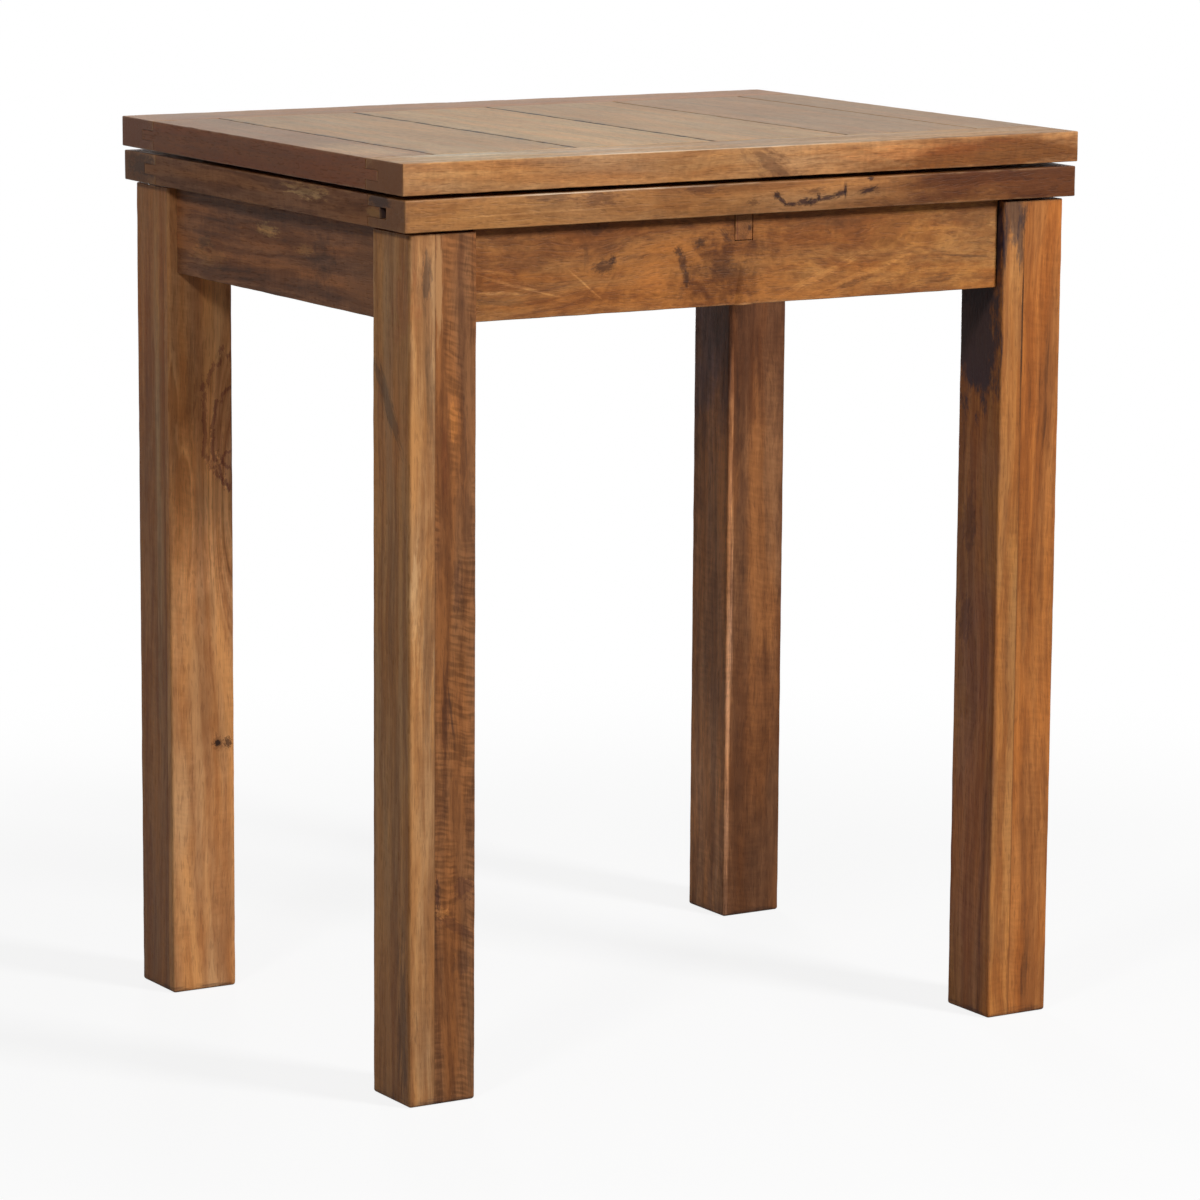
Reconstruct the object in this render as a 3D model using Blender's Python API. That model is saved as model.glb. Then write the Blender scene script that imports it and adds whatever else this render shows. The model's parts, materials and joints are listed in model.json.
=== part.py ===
"""Fold-over dining table in solid wood.

Two leaves of nearly the same size lie one on the other, hinged like wings along the back edge.
The folded pair slides forward on a centre rail, then the upper leaf swings over to the back and
doubles the table top. X runs along the front, Y to the back, Z up; the origin is on the floor
under the middle of the folded top.
"""
import math

import bmesh
import bpy
from mathutils import Matrix, Vector

# Folded table, in metres
TABLE_HEIGHT = 0.760
TOP_WIDTH = 0.648
TOP_DEPTH = 0.495

# Leaves: boards running front to back, with a rail across their ends; the lower leaf stops short
# of the upper one on the left and on the right
LEAF_THICKNESS = 0.026
LEAF_GAP = 0.0030
LOWER_SIDE_STEP = 0.0020
OPEN_SEAM = 0.0010
END_RAIL_WIDTH = 0.060
STILE_WIDTH = 0.0615
PLANK_COUNT = 4
SEAM_WIDTH = 0.0016
LEAF_ARRIS = 0.0012
SEAM_ARRIS = 0.0005

# Tongues and grooves between the boards and into the rails; the spare is the groove's depth
# beyond the tongue, which shows as a recess at the ends of the lower front rail
TONGUE_THICKNESS = 0.0085
END_TONGUE_LENGTH = 0.020
LOWER_FRONT_SPARE = 0.010
END_GROOVE_SPARE = 0.0005
EDGE_TONGUE_LENGTH = 0.006
EDGE_GROOVE_SPARE = 0.001

# Legs and aprons; the tenon web is the wood left between a tenon's tip and the crossing tenon
LEG_SIZE = 0.0615
LEG_ROUND = 0.003
LEG_FOOT_ROUND = 0.0025
LEG_TOP_CHAMFER = 0.0012
LEG_DROP = 0.0015
SIDE_OVERHANG = 0.0095
FRONT_OVERHANG = 0.006
APRON_SETBACK = 0.008
APRON_THICKNESS = 0.022
APRON_HEIGHT = 0.0745
APRON_ROUND = 0.0012
TENON_THICKNESS = 0.010
TENON_WEB = 0.012
TENON_SHOULDER = 0.010
TENON_ROUND = 0.0008

# Corner blocks across the inside of the frame
BLOCK_THICKNESS = 0.020
BLOCK_HEIGHT = 0.050
BLOCK_DROP = 0.008
BLOCK_LEG_CLEARANCE = 0.001

# Centre slide: a rail let into the aprons, and the guide under the lower leaf that rides on it
SLIDE_RAIL_WIDTH = 0.0165
SLIDE_RAIL_HEIGHT = 0.0215
SLIDE_RAIL_ARRIS = 0.0006
GUIDE_WIDTH = 0.028
KEEPER_THICKNESS = 0.012
GUIDE_ARRIS = 0.0010
STOP_CLEARANCE = 0.0010
KEEPER_SCREW_INSET = 0.030

# Butt hinges let in flush, so that the knuckle sets the gap between the leaves; the inset is
# from the upper leaf's side to the middle of a hinge
HINGE_INSET = 0.124
HINGE_LENGTH = 0.075
PLATE_WIDTH = 0.024
PLATE_THICKNESS = 0.0020
KNUCKLE_COUNT = 5
KNUCKLE_GAP = 0.0004
PIN_DIAMETER = 0.0032
PIN_CLEARANCE = 0.0002
HINGE_SCREW_COUNT = 3
HINGE_SCREW_MARGIN = 0.0115

# Countersunk screws: head diameter, shank diameter, length
HINGE_SCREW_HEAD = 0.0066
HINGE_SCREW_SHANK = 0.0034
HINGE_SCREW_LENGTH = 0.014
KEEPER_SCREW_HEAD = 0.0080
KEEPER_SCREW_SHANK = 0.0042
KEEPER_SCREW_LENGTH = 0.028
SCREW_RIM = 0.0003
SCREW_POINT = 0.003

# Soft pads that hold the front of the leaves apart
PAD_DIAMETER = 0.012
PAD_END_INSET = 0.0735
PAD_FRONT_INSET = 0.030
PAD_ROUND = 0.0006

# Clearances: seated pieces, sliding pieces, how far a cutting shape runs past the wood, and
# the distance at which the points of a turned shape count as one
SEAT_GAP = 0.0003
RUN_GAP = 0.0005
CUT_PAST = 0.002
MERGE_DISTANCE = 0.00001

# Facets of round shapes
ARRIS_STEPS = 2
ROUND_STEPS = 12
KNUCKLE_STEP_DEG = 15

# Levels and places worked out from the sizes
UPPER_MIDDLE = TABLE_HEIGHT - LEAF_THICKNESS / 2
LOWER_MIDDLE = UPPER_MIDDLE - LEAF_THICKNESS - LEAF_GAP
LOWER_TOP = LOWER_MIDDLE + LEAF_THICKNESS / 2
LOWER_UNDERSIDE = LOWER_MIDDLE - LEAF_THICKNESS / 2
APRON_TOP = LOWER_UNDERSIDE - SEAT_GAP
APRON_MIDDLE = APRON_TOP - APRON_HEIGHT / 2
LEG_TOP = LOWER_UNDERSIDE - LEG_DROP
GAP_MIDDLE = LOWER_TOP + LEAF_GAP / 2

LOWER_WIDTH = TOP_WIDTH - 2 * LOWER_SIDE_STEP
FRAME_WIDTH = TOP_WIDTH - 2 * SIDE_OVERHANG
FRAME_DEPTH = TOP_DEPTH - 2 * FRONT_OVERHANG
APRON_INNER = APRON_SETBACK + APRON_THICKNESS
APRON_CENTRE = APRON_SETBACK + APRON_THICKNESS / 2
TENON_LENGTH = LEG_SIZE - APRON_CENTRE - TENON_THICKNESS / 2 - TENON_WEB

SLIDE_TRAVEL = TOP_DEPTH / 2
INNER_DEPTH = FRAME_DEPTH - 2 * APRON_INNER
GUIDE_LENGTH = INNER_DEPTH - SLIDE_TRAVEL - 2 * STOP_CLEARANCE
GUIDE_CENTRE_Y = INNER_DEPTH / 2 - STOP_CLEARANCE - GUIDE_LENGTH / 2
GUIDE_CENTRE_X = SLIDE_RAIL_WIDTH / 2 + RUN_GAP + GUIDE_WIDTH / 2
SLIDE_RAIL_UNDERSIDE = APRON_TOP - SLIDE_RAIL_HEIGHT
KEEPER_TOP = SLIDE_RAIL_UNDERSIDE - RUN_GAP

HINGE_X = TOP_WIDTH / 2 - HINGE_INSET
HINGE_Y = TOP_DEPTH / 2 + OPEN_SEAM / 2
KNUCKLE_RADIUS = LEAF_GAP / 2 + PLATE_THICKNESS
HINGE_SCREW_Y = -(KNUCKLE_RADIUS + PLATE_WIDTH) / 2
PAD_X = TOP_WIDTH / 2 - PAD_END_INSET
PAD_Y = PAD_FRONT_INSET - TOP_DEPTH / 2

SIDES = (("left", -1), ("right", 1))
ENDS = (("front", -1), ("back", 1))


def clear_scene():
    for old in list(bpy.data.objects):
        bpy.data.objects.remove(old, do_unlink=True)


def make_finish(name, colour, roughness, metallic=0.0):
    finish = bpy.data.materials.new(name)
    finish.use_nodes = True
    shader = finish.node_tree.nodes["Principled BSDF"]
    shader.inputs["Base Color"].default_value = (*colour, 1.0)
    shader.inputs["Roughness"].default_value = roughness
    shader.inputs["Metallic"].default_value = metallic
    return finish


def make_empty(name, parent, place):
    empty = bpy.data.objects.new(name, None)
    bpy.context.scene.collection.objects.link(empty)
    empty.parent = parent
    empty.location = Vector(place) - world_place(parent)
    return empty


def world_place(item):
    place = Vector((0.0, 0.0, 0.0))
    while item is not None:
        place += item.location
        item = item.parent
    return place


def add_piece(name, shape, finish, parent, place, smooth=False):
    bmesh.ops.recalc_face_normals(shape, faces=shape.faces)
    mesh = bpy.data.meshes.new(name)
    shape.to_mesh(mesh)
    shape.free()
    if smooth:
        mesh.shade_smooth()
        mesh.set_sharp_from_angle(angle=math.radians(35))
    mesh.materials.append(finish)
    piece = bpy.data.objects.new(name, mesh)
    bpy.context.scene.collection.objects.link(piece)
    piece.parent = parent
    piece.location = Vector(place) - world_place(parent)
    return piece


def cut(piece, label, shape):
    """Take a closed shape, given in the piece's own coordinates, out of the piece."""
    bmesh.ops.recalc_face_normals(shape, faces=shape.faces)
    mesh = bpy.data.meshes.new(piece.name + "_" + label)
    shape.to_mesh(mesh)
    shape.free()
    cutter = bpy.data.objects.new(mesh.name, mesh)
    bpy.context.scene.collection.objects.link(cutter)
    cutter.parent = piece
    cutter.hide_render = True
    cutter.display_type = "WIRE"
    boolean = piece.modifiers.new(label, "BOOLEAN")
    boolean.operation = "DIFFERENCE"
    boolean.solver = "EXACT"
    boolean.object = cutter


def add_box(shape, low, high):
    low = Vector(low)
    high = Vector(high)
    size = high - low
    fit = Matrix.Translation((low + high) / 2) @ Matrix.Diagonal((*size, 1.0))
    bmesh.ops.create_cube(shape, size=1.0, matrix=fit)


def box_shape(size):
    shape = bmesh.new()
    half = Vector(size) / 2
    add_box(shape, -half, half)
    return shape


def boxes_shape(corner_pairs):
    shape = bmesh.new()
    for low, high in corner_pairs:
        add_box(shape, low, high)
    return shape


def round_edges(shape, radius, wanted, steps=ARRIS_STEPS):
    """Round the edges for which wanted(middle, direction) is true."""
    picked = []
    for edge in shape.edges:
        start, end = (vert.co for vert in edge.verts)
        if wanted((start + end) / 2, (end - start).normalized()):
            picked.append(edge)
    bmesh.ops.bevel(shape, geom=picked, offset=radius, offset_type="OFFSET", segments=steps,
                    profile=0.5, affect="EDGES", clamp_overlap=True)


def corner_arc(corner, towards, radius, steps=ARRIS_STEPS):
    """Points round an outline's corner; towards holds the signs that lead into the outline."""
    centre = (corner[0] + towards[0] * radius, corner[1] + towards[1] * radius)
    points = []
    for step in range(steps + 1):
        turn = math.pi / 2 * step / steps
        across = centre[0] - towards[0] * radius * math.cos(turn)
        up = centre[1] - towards[1] * radius * math.sin(turn)
        points.append((across, up))
    return points


def rounded_rectangle(width, height, radius):
    """Outline about the origin, anticlockwise from the lower left corner."""
    half_w = width / 2
    half_h = height / 2
    points = corner_arc((-half_w, -half_h), (1, 1), radius)
    points += reversed(corner_arc((half_w, -half_h), (-1, 1), radius))
    points += corner_arc((half_w, half_h), (-1, -1), radius)
    points += reversed(corner_arc((-half_w, half_h), (1, -1), radius))
    return points


def loft(stations, place_point):
    """Skin a row of outlines that have the same number of points, and close both ends."""
    shape = bmesh.new()
    rings = []
    for along, outline in stations:
        rings.append([shape.verts.new(place_point(along, a, b)) for a, b in outline])
    count = len(rings[0])
    for ring, following in zip(rings, rings[1:]):
        for i in range(count):
            j = (i + 1) % count
            shape.faces.new((ring[i], ring[j], following[j], following[i]))
    shape.faces.new(rings[0])
    shape.faces.new(rings[-1])
    return shape


def lathe(profile, steps=ROUND_STEPS):
    """Turn a profile of (radius, height) points, which starts and ends on the axis, about Z."""
    shape = bmesh.new()
    chain = [shape.verts.new((radius, 0.0, height)) for radius, height in profile]
    for start, end in zip(chain, chain[1:]):
        shape.edges.new((start, end))
    bmesh.ops.spin(shape, geom=shape.verts[:] + shape.edges[:], cent=(0, 0, 0), axis=(0, 0, 1),
                   angle=math.tau, steps=steps, use_merge=True)
    bmesh.ops.remove_doubles(shape, verts=shape.verts, dist=MERGE_DISTANCE)
    return shape


def copies(make_shape, places, turned_over=False):
    """One shape made of separate copies at several places, pointing up where turned over."""
    whole = bmesh.new()
    for place in places:
        single = make_shape()
        if turned_over:
            bmesh.ops.rotate(single, verts=single.verts, cent=(0, 0, 0),
                             matrix=Matrix.Rotation(math.pi, 3, "X"))
        bmesh.ops.translate(single, verts=single.verts, vec=place)
        mesh = bpy.data.meshes.new("copy")
        single.to_mesh(mesh)
        single.free()
        whole.from_mesh(mesh)
        bpy.data.meshes.remove(mesh)
    return whole


def screw_shape(head, shank, length):
    """Countersunk screw with the middle of its head's face at the origin, pointing down."""
    head_r = head / 2
    shank_r = shank / 2
    neck = SCREW_RIM + head_r - shank_r
    return lathe([(0.0, 0.0), (head_r, 0.0), (head_r, -SCREW_RIM), (shank_r, -neck),
                  (shank_r, SCREW_POINT - length), (0.0, -length)])


def screw_hole(head, shank, depth):
    """Countersunk clearance hole for the same screw, through a plate of this depth."""
    head_r = head / 2 + SEAT_GAP
    shank_r = shank / 2 + SEAT_GAP
    neck = SCREW_RIM + head_r - shank_r
    return lathe([(0.0, CUT_PAST), (head_r, CUT_PAST), (head_r, -SCREW_RIM), (shank_r, -neck),
                  (shank_r, -depth - CUT_PAST), (0.0, -depth - CUT_PAST)])


def pilot_hole(shank, depth):
    """Blind hole in the wood, from just above the screw's head plane down to its depth."""
    radius = shank / 2 + SEAT_GAP
    return lathe([(0.0, CUT_PAST), (radius, CUT_PAST), (radius, -depth), (0.0, -depth)])


def make_legs(frame, finish):
    """Four straight legs with softened corners, mortised on their two inner faces."""
    tenon_height = APRON_HEIGHT - 2 * TENON_SHOULDER
    half_t = TENON_THICKNESS / 2 + SEAT_GAP
    z_low = APRON_MIDDLE - tenon_height / 2 - SEAT_GAP
    z_high = APRON_MIDDLE + tenon_height / 2 + SEAT_GAP
    half_leg = LEG_SIZE / 2
    for end_name, end in ENDS:
        for side_name, side in SIDES:
            shape = box_shape((LEG_SIZE, LEG_SIZE, LEG_TOP))
            bmesh.ops.translate(shape, verts=shape.verts, vec=(0, 0, LEG_TOP / 2))
            round_edges(shape, LEG_ROUND, lambda middle, along: abs(along.z) > 0.9)
            round_edges(shape, LEG_FOOT_ROUND,
                        lambda middle, along: abs(along.z) < 0.1 and middle.z < LEG_TOP / 2)
            round_edges(shape, LEG_TOP_CHAMFER,
                        lambda middle, along: abs(along.z) < 0.1 and middle.z > LEG_TOP - MERGE_DISTANCE,
                        steps=1)
            place = (side * (FRAME_WIDTH / 2 - half_leg), end * (FRAME_DEPTH / 2 - half_leg), 0)
            leg = add_piece("leg_" + end_name + "_" + side_name, shape, finish, frame, place)
            line = half_leg - APRON_CENTRE
            tip = half_leg - TENON_LENGTH - SEAT_GAP
            mouth = half_leg + CUT_PAST
            spans = []
            for across, lengthwise in ((0, 1), (1, 0)):
                signs = (side, end)
                low = [0.0, 0.0, z_low]
                high = [0.0, 0.0, z_high]
                centre = signs[across] * line
                low[across] = centre - half_t
                high[across] = centre + half_t
                reach = sorted((-signs[lengthwise] * tip, -signs[lengthwise] * mouth))
                low[lengthwise], high[lengthwise] = reach
                spans.append((low, high))
            cut(leg, "mortises", boxes_shape(spans))


def apron_shape(span, place_point):
    """Board with rounded edges and a shouldered tenon on each end."""
    board = rounded_rectangle(APRON_THICKNESS, APRON_HEIGHT, APRON_ROUND)
    tenon = rounded_rectangle(TENON_THICKNESS, APRON_HEIGHT - 2 * TENON_SHOULDER, TENON_ROUND)
    shoulder = span / 2 - SEAT_GAP
    tip = span / 2 + TENON_LENGTH
    stations = [(-tip, tenon), (-shoulder, tenon), (-shoulder, board),
                (shoulder, board), (shoulder, tenon), (tip, tenon)]
    return loft(stations, place_point)


def make_aprons(frame, finish):
    notch_half = SLIDE_RAIL_WIDTH / 2 + SEAT_GAP
    notch_floor = APRON_HEIGHT / 2 - SLIDE_RAIL_HEIGHT - SEAT_GAP
    for name, end in ENDS:
        shape = apron_shape(FRAME_WIDTH - 2 * LEG_SIZE, lambda x, y, z: (x, y, z))
        place = (0, end * (FRAME_DEPTH / 2 - APRON_CENTRE), APRON_MIDDLE)
        apron = add_piece("apron_" + name, shape, finish, frame, place)
        reach = APRON_THICKNESS / 2 + CUT_PAST
        notch = ((-notch_half, -reach, notch_floor), (notch_half, reach, APRON_HEIGHT / 2 + CUT_PAST))
        cut(apron, "rail_notch", boxes_shape([notch]))
    for name, side in SIDES:
        shape = apron_shape(FRAME_DEPTH - 2 * LEG_SIZE, lambda y, x, z: (x, y, z))
        place = (side * (FRAME_WIDTH / 2 - APRON_CENTRE), 0, APRON_MIDDLE)
        add_piece("apron_" + name, shape, finish, frame, place)


def make_corner_blocks(frame, finish):
    """Braces across the corners, seated on two aprons and clear of the leg between them."""
    seat = APRON_INNER + SEAT_GAP
    near = 2 * LEG_SIZE + BLOCK_LEG_CLEARANCE * math.sqrt(2) - seat
    far = near + BLOCK_THICKNESS * math.sqrt(2)
    outline = [(near, seat), (far, seat), (seat, far), (seat, near)]
    top = APRON_TOP - BLOCK_DROP
    for end_name, end in ENDS:
        for side_name, side in SIDES:
            points = [(-side * a, -end * b) for a, b in outline]
            stations = [(-BLOCK_HEIGHT / 2, points), (BLOCK_HEIGHT / 2, points)]
            shape = loft(stations, lambda z, x, y: (x, y, z))
            place = (side * FRAME_WIDTH / 2, end * FRAME_DEPTH / 2, top - BLOCK_HEIGHT / 2)
            add_piece("corner_block_" + end_name + "_" + side_name, shape, finish, frame, place)


def make_slide_rail(frame, finish):
    """Square rail from front to back, flush with the outer faces of both aprons."""
    length = FRAME_DEPTH - 2 * APRON_SETBACK
    shape = box_shape((SLIDE_RAIL_WIDTH, length, SLIDE_RAIL_HEIGHT))
    round_edges(shape, SLIDE_RAIL_ARRIS, lambda middle, along: True, steps=1)
    place = (0, 0, APRON_TOP - SLIDE_RAIL_HEIGHT / 2)
    add_piece("slide_rail", shape, finish, frame, place)


def make_guide(carriage, finish, screw_finish):
    """Two cleats under the lower leaf, one each side of the rail, and a keeper strip below it."""
    cleat_top = LOWER_UNDERSIDE - SEAT_GAP
    cleat_bottom = KEEPER_TOP + SEAT_GAP
    cleat_height = cleat_top - cleat_bottom
    screw_ys = [step * (GUIDE_LENGTH / 2 - KEEPER_SCREW_INSET) for step in (-1, 1)]
    for name, side in SIDES:
        shape = box_shape((GUIDE_WIDTH, GUIDE_LENGTH, cleat_height))
        round_edges(shape, GUIDE_ARRIS, lambda middle, along: abs(along.z) > 0.9, steps=1)
        place = (side * GUIDE_CENTRE_X, GUIDE_CENTRE_Y, (cleat_top + cleat_bottom) / 2)
        cleat = add_piece("guide_cleat_" + name, shape, finish, carriage, place)
        depth = KEEPER_SCREW_LENGTH - KEEPER_THICKNESS + SEAT_GAP
        holes = copies(lambda: pilot_hole(KEEPER_SCREW_SHANK, depth),
                       [(0, y, -cleat_height / 2) for y in screw_ys], turned_over=True)
        cut(cleat, "pilot_holes", holes)

    keeper_width = 2 * (GUIDE_CENTRE_X + GUIDE_WIDTH / 2)
    shape = box_shape((keeper_width, GUIDE_LENGTH, KEEPER_THICKNESS))
    round_edges(shape, GUIDE_ARRIS, lambda middle, along: middle.z < -KEEPER_THICKNESS / 4, steps=1)
    place = Vector((0, GUIDE_CENTRE_Y, KEEPER_TOP - KEEPER_THICKNESS / 2))
    keeper = add_piece("keeper_strip", shape, finish, carriage, place)
    heads = [(side * GUIDE_CENTRE_X, y, -KEEPER_THICKNESS / 2) for name, side in SIDES for y in screw_ys]
    holes = copies(lambda: screw_hole(KEEPER_SCREW_HEAD, KEEPER_SCREW_SHANK, KEEPER_THICKNESS),
                   heads, turned_over=True)
    cut(keeper, "screw_holes", holes)
    for number, head in enumerate(heads, start=1):
        shape = copies(lambda: screw_shape(KEEPER_SCREW_HEAD, KEEPER_SCREW_SHANK, KEEPER_SCREW_LENGTH),
                       [(0, 0, 0)], turned_over=True)
        seat = place + Vector(head) + Vector((0, 0, SEAT_GAP))
        add_piece("keeper_screw_" + str(number), shape, screw_finish, carriage, seat, smooth=True)


def make_leaf_rails(prefix, parent, finish, level, width, front_spare):
    """Rails across the front and back ends of a leaf, grooved along their sharp inner edge."""
    half_rail = END_RAIL_WIDTH / 2
    half_width = width / 2
    half_groove = TONGUE_THICKNESS / 2 + SEAT_GAP
    rails = {}
    for name, end in ENDS:
        depth = END_TONGUE_LENGTH + (front_spare if end < 0 else END_GROOVE_SPARE)
        shape = box_shape((width, END_RAIL_WIDTH, LEAF_THICKNESS))
        round_edges(shape, LEAF_ARRIS, lambda middle, along: middle.y * end > -half_rail / 2)
        place = (0, end * (TOP_DEPTH / 2 - half_rail), level)
        rail = add_piece(prefix + "_" + name + "_rail", shape, finish, parent, place)
        reach = sorted((-end * (half_rail - depth), -end * (half_rail + CUT_PAST)))
        low = (-half_width - CUT_PAST, reach[0], -half_groove)
        high = (half_width + CUT_PAST, reach[1], half_groove)
        cut(rail, "end_groove", boxes_shape([(low, high)]))
        rails[name] = rail
    return rails


def board_outline(low, high, grooved, tongued):
    """Section of a leaf board across its grain, from its low to its high edge along X."""
    half = LEAF_THICKNESS / 2
    tongue = TONGUE_THICKNESS / 2
    groove = tongue + SEAT_GAP
    floor = low + EDGE_TONGUE_LENGTH + EDGE_GROOVE_SPARE
    tip = high + SEAM_WIDTH + EDGE_TONGUE_LENGTH
    low_round = SEAM_ARRIS if grooved else LEAF_ARRIS
    high_round = SEAM_ARRIS if tongued else LEAF_ARRIS
    points = corner_arc((low, -half), (1, 1), low_round)
    points += reversed(corner_arc((high, -half), (-1, 1), high_round))
    if tongued:
        points += [(high, -tongue), (tip, -tongue), (tip, tongue), (high, tongue)]
    points += corner_arc((high, half), (-1, -1), high_round)
    points += reversed(corner_arc((low, half), (1, -1), low_round))
    if grooved:
        points += [(low, groove), (floor, groove), (floor, -groove), (low, -groove)]
    return points


def make_leaf_boards(prefix, parent, finish, level, width):
    """Stiles and planks, each tongued into the next and into both rails."""
    inner = TOP_WIDTH - 2 * STILE_WIDTH
    pitch = inner / PLANK_COUNT
    lines = [-inner / 2 + pitch * i for i in range(PLANK_COUNT + 1)]
    edges = [-width / 2 - SEAM_WIDTH / 2, *lines, width / 2 + SEAM_WIDTH / 2]
    names = ["left_stile", *("plank_" + str(i + 1) for i in range(PLANK_COUNT)), "right_stile"]
    half_length = TOP_DEPTH / 2 - END_RAIL_WIDTH + END_TONGUE_LENGTH
    shoulder = TOP_DEPTH / 2 - END_RAIL_WIDTH - SEAM_WIDTH
    for number, name in enumerate(names):
        start = edges[number] + SEAM_WIDTH / 2
        stop = edges[number + 1] - SEAM_WIDTH / 2
        centre = (start + stop) / 2
        half_width = (stop - start) / 2
        outline = board_outline(-half_width, half_width, number > 0, number < len(names) - 1)
        shape = loft([(-half_length, outline), (half_length, outline)], lambda y, x, z: (x, y, z))
        board = add_piece(prefix + "_" + name, shape, finish, parent, (centre, 0, level))
        reach = half_width + SEAM_WIDTH + EDGE_TONGUE_LENGTH + CUT_PAST
        spans = []
        for end in (-1, 1):
            y_low, y_high = sorted((end * shoulder, end * (half_length + CUT_PAST)))
            for face in (-1, 1):
                cheek = (face * TONGUE_THICKNESS / 2, face * (LEAF_THICKNESS / 2 + CUT_PAST))
                z_low, z_high = sorted(cheek)
                spans.append(((-reach, y_low, z_low), (reach, y_high, z_high)))
        cut(board, "end_shoulders", boxes_shape(spans))


def plate_shape(facing):
    """Hinge plate rolled round the pin: facing is 1 for the lower plate, -1 for the upper one."""
    radius = KNUCKLE_RADIUS
    end_turn = 180 + math.degrees(math.asin((radius - PLATE_THICKNESS) / radius))
    turns = list(range(-90, math.ceil(end_turn), KNUCKLE_STEP_DEG)) + [end_turn]
    rim = [(radius * math.cos(math.radians(t)), radius * math.sin(math.radians(t))) for t in turns]
    outline = [(-PLATE_WIDTH, PLATE_THICKNESS - radius), (-PLATE_WIDTH, -radius), *rim]
    bore = PIN_DIAMETER / 2 + PIN_CLEARANCE
    around = [math.tau * i / ROUND_STEPS for i in range(ROUND_STEPS)]
    hole = [(bore * math.cos(turn), bore * math.sin(turn)) for turn in around]
    shape = bmesh.new()
    for loop in (outline, hole):
        ring = [shape.verts.new((-HINGE_LENGTH / 2, y, facing * z)) for y, z in loop]
        for i, vert in enumerate(ring):
            shape.edges.new((vert, ring[(i + 1) % len(ring)]))
    bmesh.ops.triangle_fill(shape, use_beauty=True, edges=shape.edges[:], normal=(1, 0, 0))
    grown = bmesh.ops.extrude_face_region(shape, geom=shape.faces[:])
    far_side = [item for item in grown["geom"] if isinstance(item, bmesh.types.BMVert)]
    bmesh.ops.translate(shape, verts=far_side, vec=(HINGE_LENGTH, 0, 0))
    return shape


def knuckle_notches(first):
    """Boxes that clear the other plate's knuckles: every second one, from the first given."""
    pitch = HINGE_LENGTH / KNUCKLE_COUNT
    inner = KNUCKLE_RADIUS + SEAT_GAP
    outer = KNUCKLE_RADIUS + CUT_PAST
    spans = []
    for number in range(first, KNUCKLE_COUNT, 2):
        start = -HINGE_LENGTH / 2 + number * pitch - KNUCKLE_GAP / 2
        stop = start + pitch + KNUCKLE_GAP
        if number == 0:
            start -= CUT_PAST
        if number == KNUCKLE_COUNT - 1:
            stop += CUT_PAST
        spans.append(((start, -inner, -outer), (stop, outer, outer)))
    return boxes_shape(spans)


def hinge_screw_xs():
    first = HINGE_SCREW_MARGIN - HINGE_LENGTH / 2
    pitch = -2 * first / (HINGE_SCREW_COUNT - 1)
    return [first + pitch * i for i in range(HINGE_SCREW_COUNT)]


def make_hinge_half(prefix, parent, finishes, rail, facing):
    """Both hinge plates of one leaf, their screws, and the mortises that they sit in."""
    plate_face = -facing * LEAF_GAP / 2
    mortise_depth = PLATE_THICKNESS + SEAT_GAP
    face = facing * LEAF_THICKNESS / 2
    axis_in_rail = HINGE_Y - (TOP_DEPTH / 2 - END_RAIL_WIDTH / 2)
    turned = facing < 0
    mortises = []
    pilots = []
    for side_name, side in SIDES:
        hinge_x = side * HINGE_X
        place = Vector((hinge_x, HINGE_Y, GAP_MIDDLE))
        plate = add_piece(prefix + "_hinge_plate_" + side_name, plate_shape(facing),
                          finishes["hinge"], parent, place, smooth=True)
        cut(plate, "knuckle_notches", knuckle_notches(1 if facing > 0 else 0))
        heads = [(x, HINGE_SCREW_Y, plate_face) for x in hinge_screw_xs()]
        holes = copies(lambda: screw_hole(HINGE_SCREW_HEAD, HINGE_SCREW_SHANK, PLATE_THICKNESS),
                       heads, turned_over=turned)
        cut(plate, "screw_holes", holes)
        for number, head in enumerate(heads, start=1):
            shape = copies(lambda: screw_shape(HINGE_SCREW_HEAD, HINGE_SCREW_SHANK, HINGE_SCREW_LENGTH),
                           [(0, 0, 0)], turned_over=turned)
            seat = place + Vector(head) - Vector((0, 0, facing * SEAT_GAP))
            name = prefix + "_hinge_screw_" + side_name + "_" + str(number)
            add_piece(name, shape, finishes["screw"], parent, seat, smooth=True)
            pilots.append((hinge_x + head[0], axis_in_rail + HINGE_SCREW_Y, face))
        half_length = HINGE_LENGTH / 2 + SEAT_GAP
        z_low, z_high = sorted((face - facing * mortise_depth, face + facing * CUT_PAST))
        low = (hinge_x - half_length, axis_in_rail - PLATE_WIDTH - SEAT_GAP, z_low)
        high = (hinge_x + half_length, END_RAIL_WIDTH / 2 + CUT_PAST, z_high)
        mortises.append((low, high))
    cut(rail, "hinge_mortises", boxes_shape(mortises))
    depth = HINGE_SCREW_LENGTH + 2 * SEAT_GAP
    cut(rail, "pilot_holes", copies(lambda: pilot_hole(HINGE_SCREW_SHANK, depth), pilots, turned))


def make_hinge_pins(parent, finish):
    half = HINGE_LENGTH / 2
    radius = PIN_DIAMETER / 2
    ease = PIN_CLEARANCE
    for name, side in SIDES:
        shape = lathe([(0.0, half), (radius - ease, half), (radius, half - ease),
                       (radius, ease - half), (radius - ease, -half), (0.0, -half)])
        bmesh.ops.rotate(shape, verts=shape.verts, cent=(0, 0, 0),
                         matrix=Matrix.Rotation(math.pi / 2, 3, "Y"))
        place = (side * HINGE_X, HINGE_Y, GAP_MIDDLE)
        add_piece("hinge_pin_" + name, shape, finish, parent, place, smooth=True)


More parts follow.
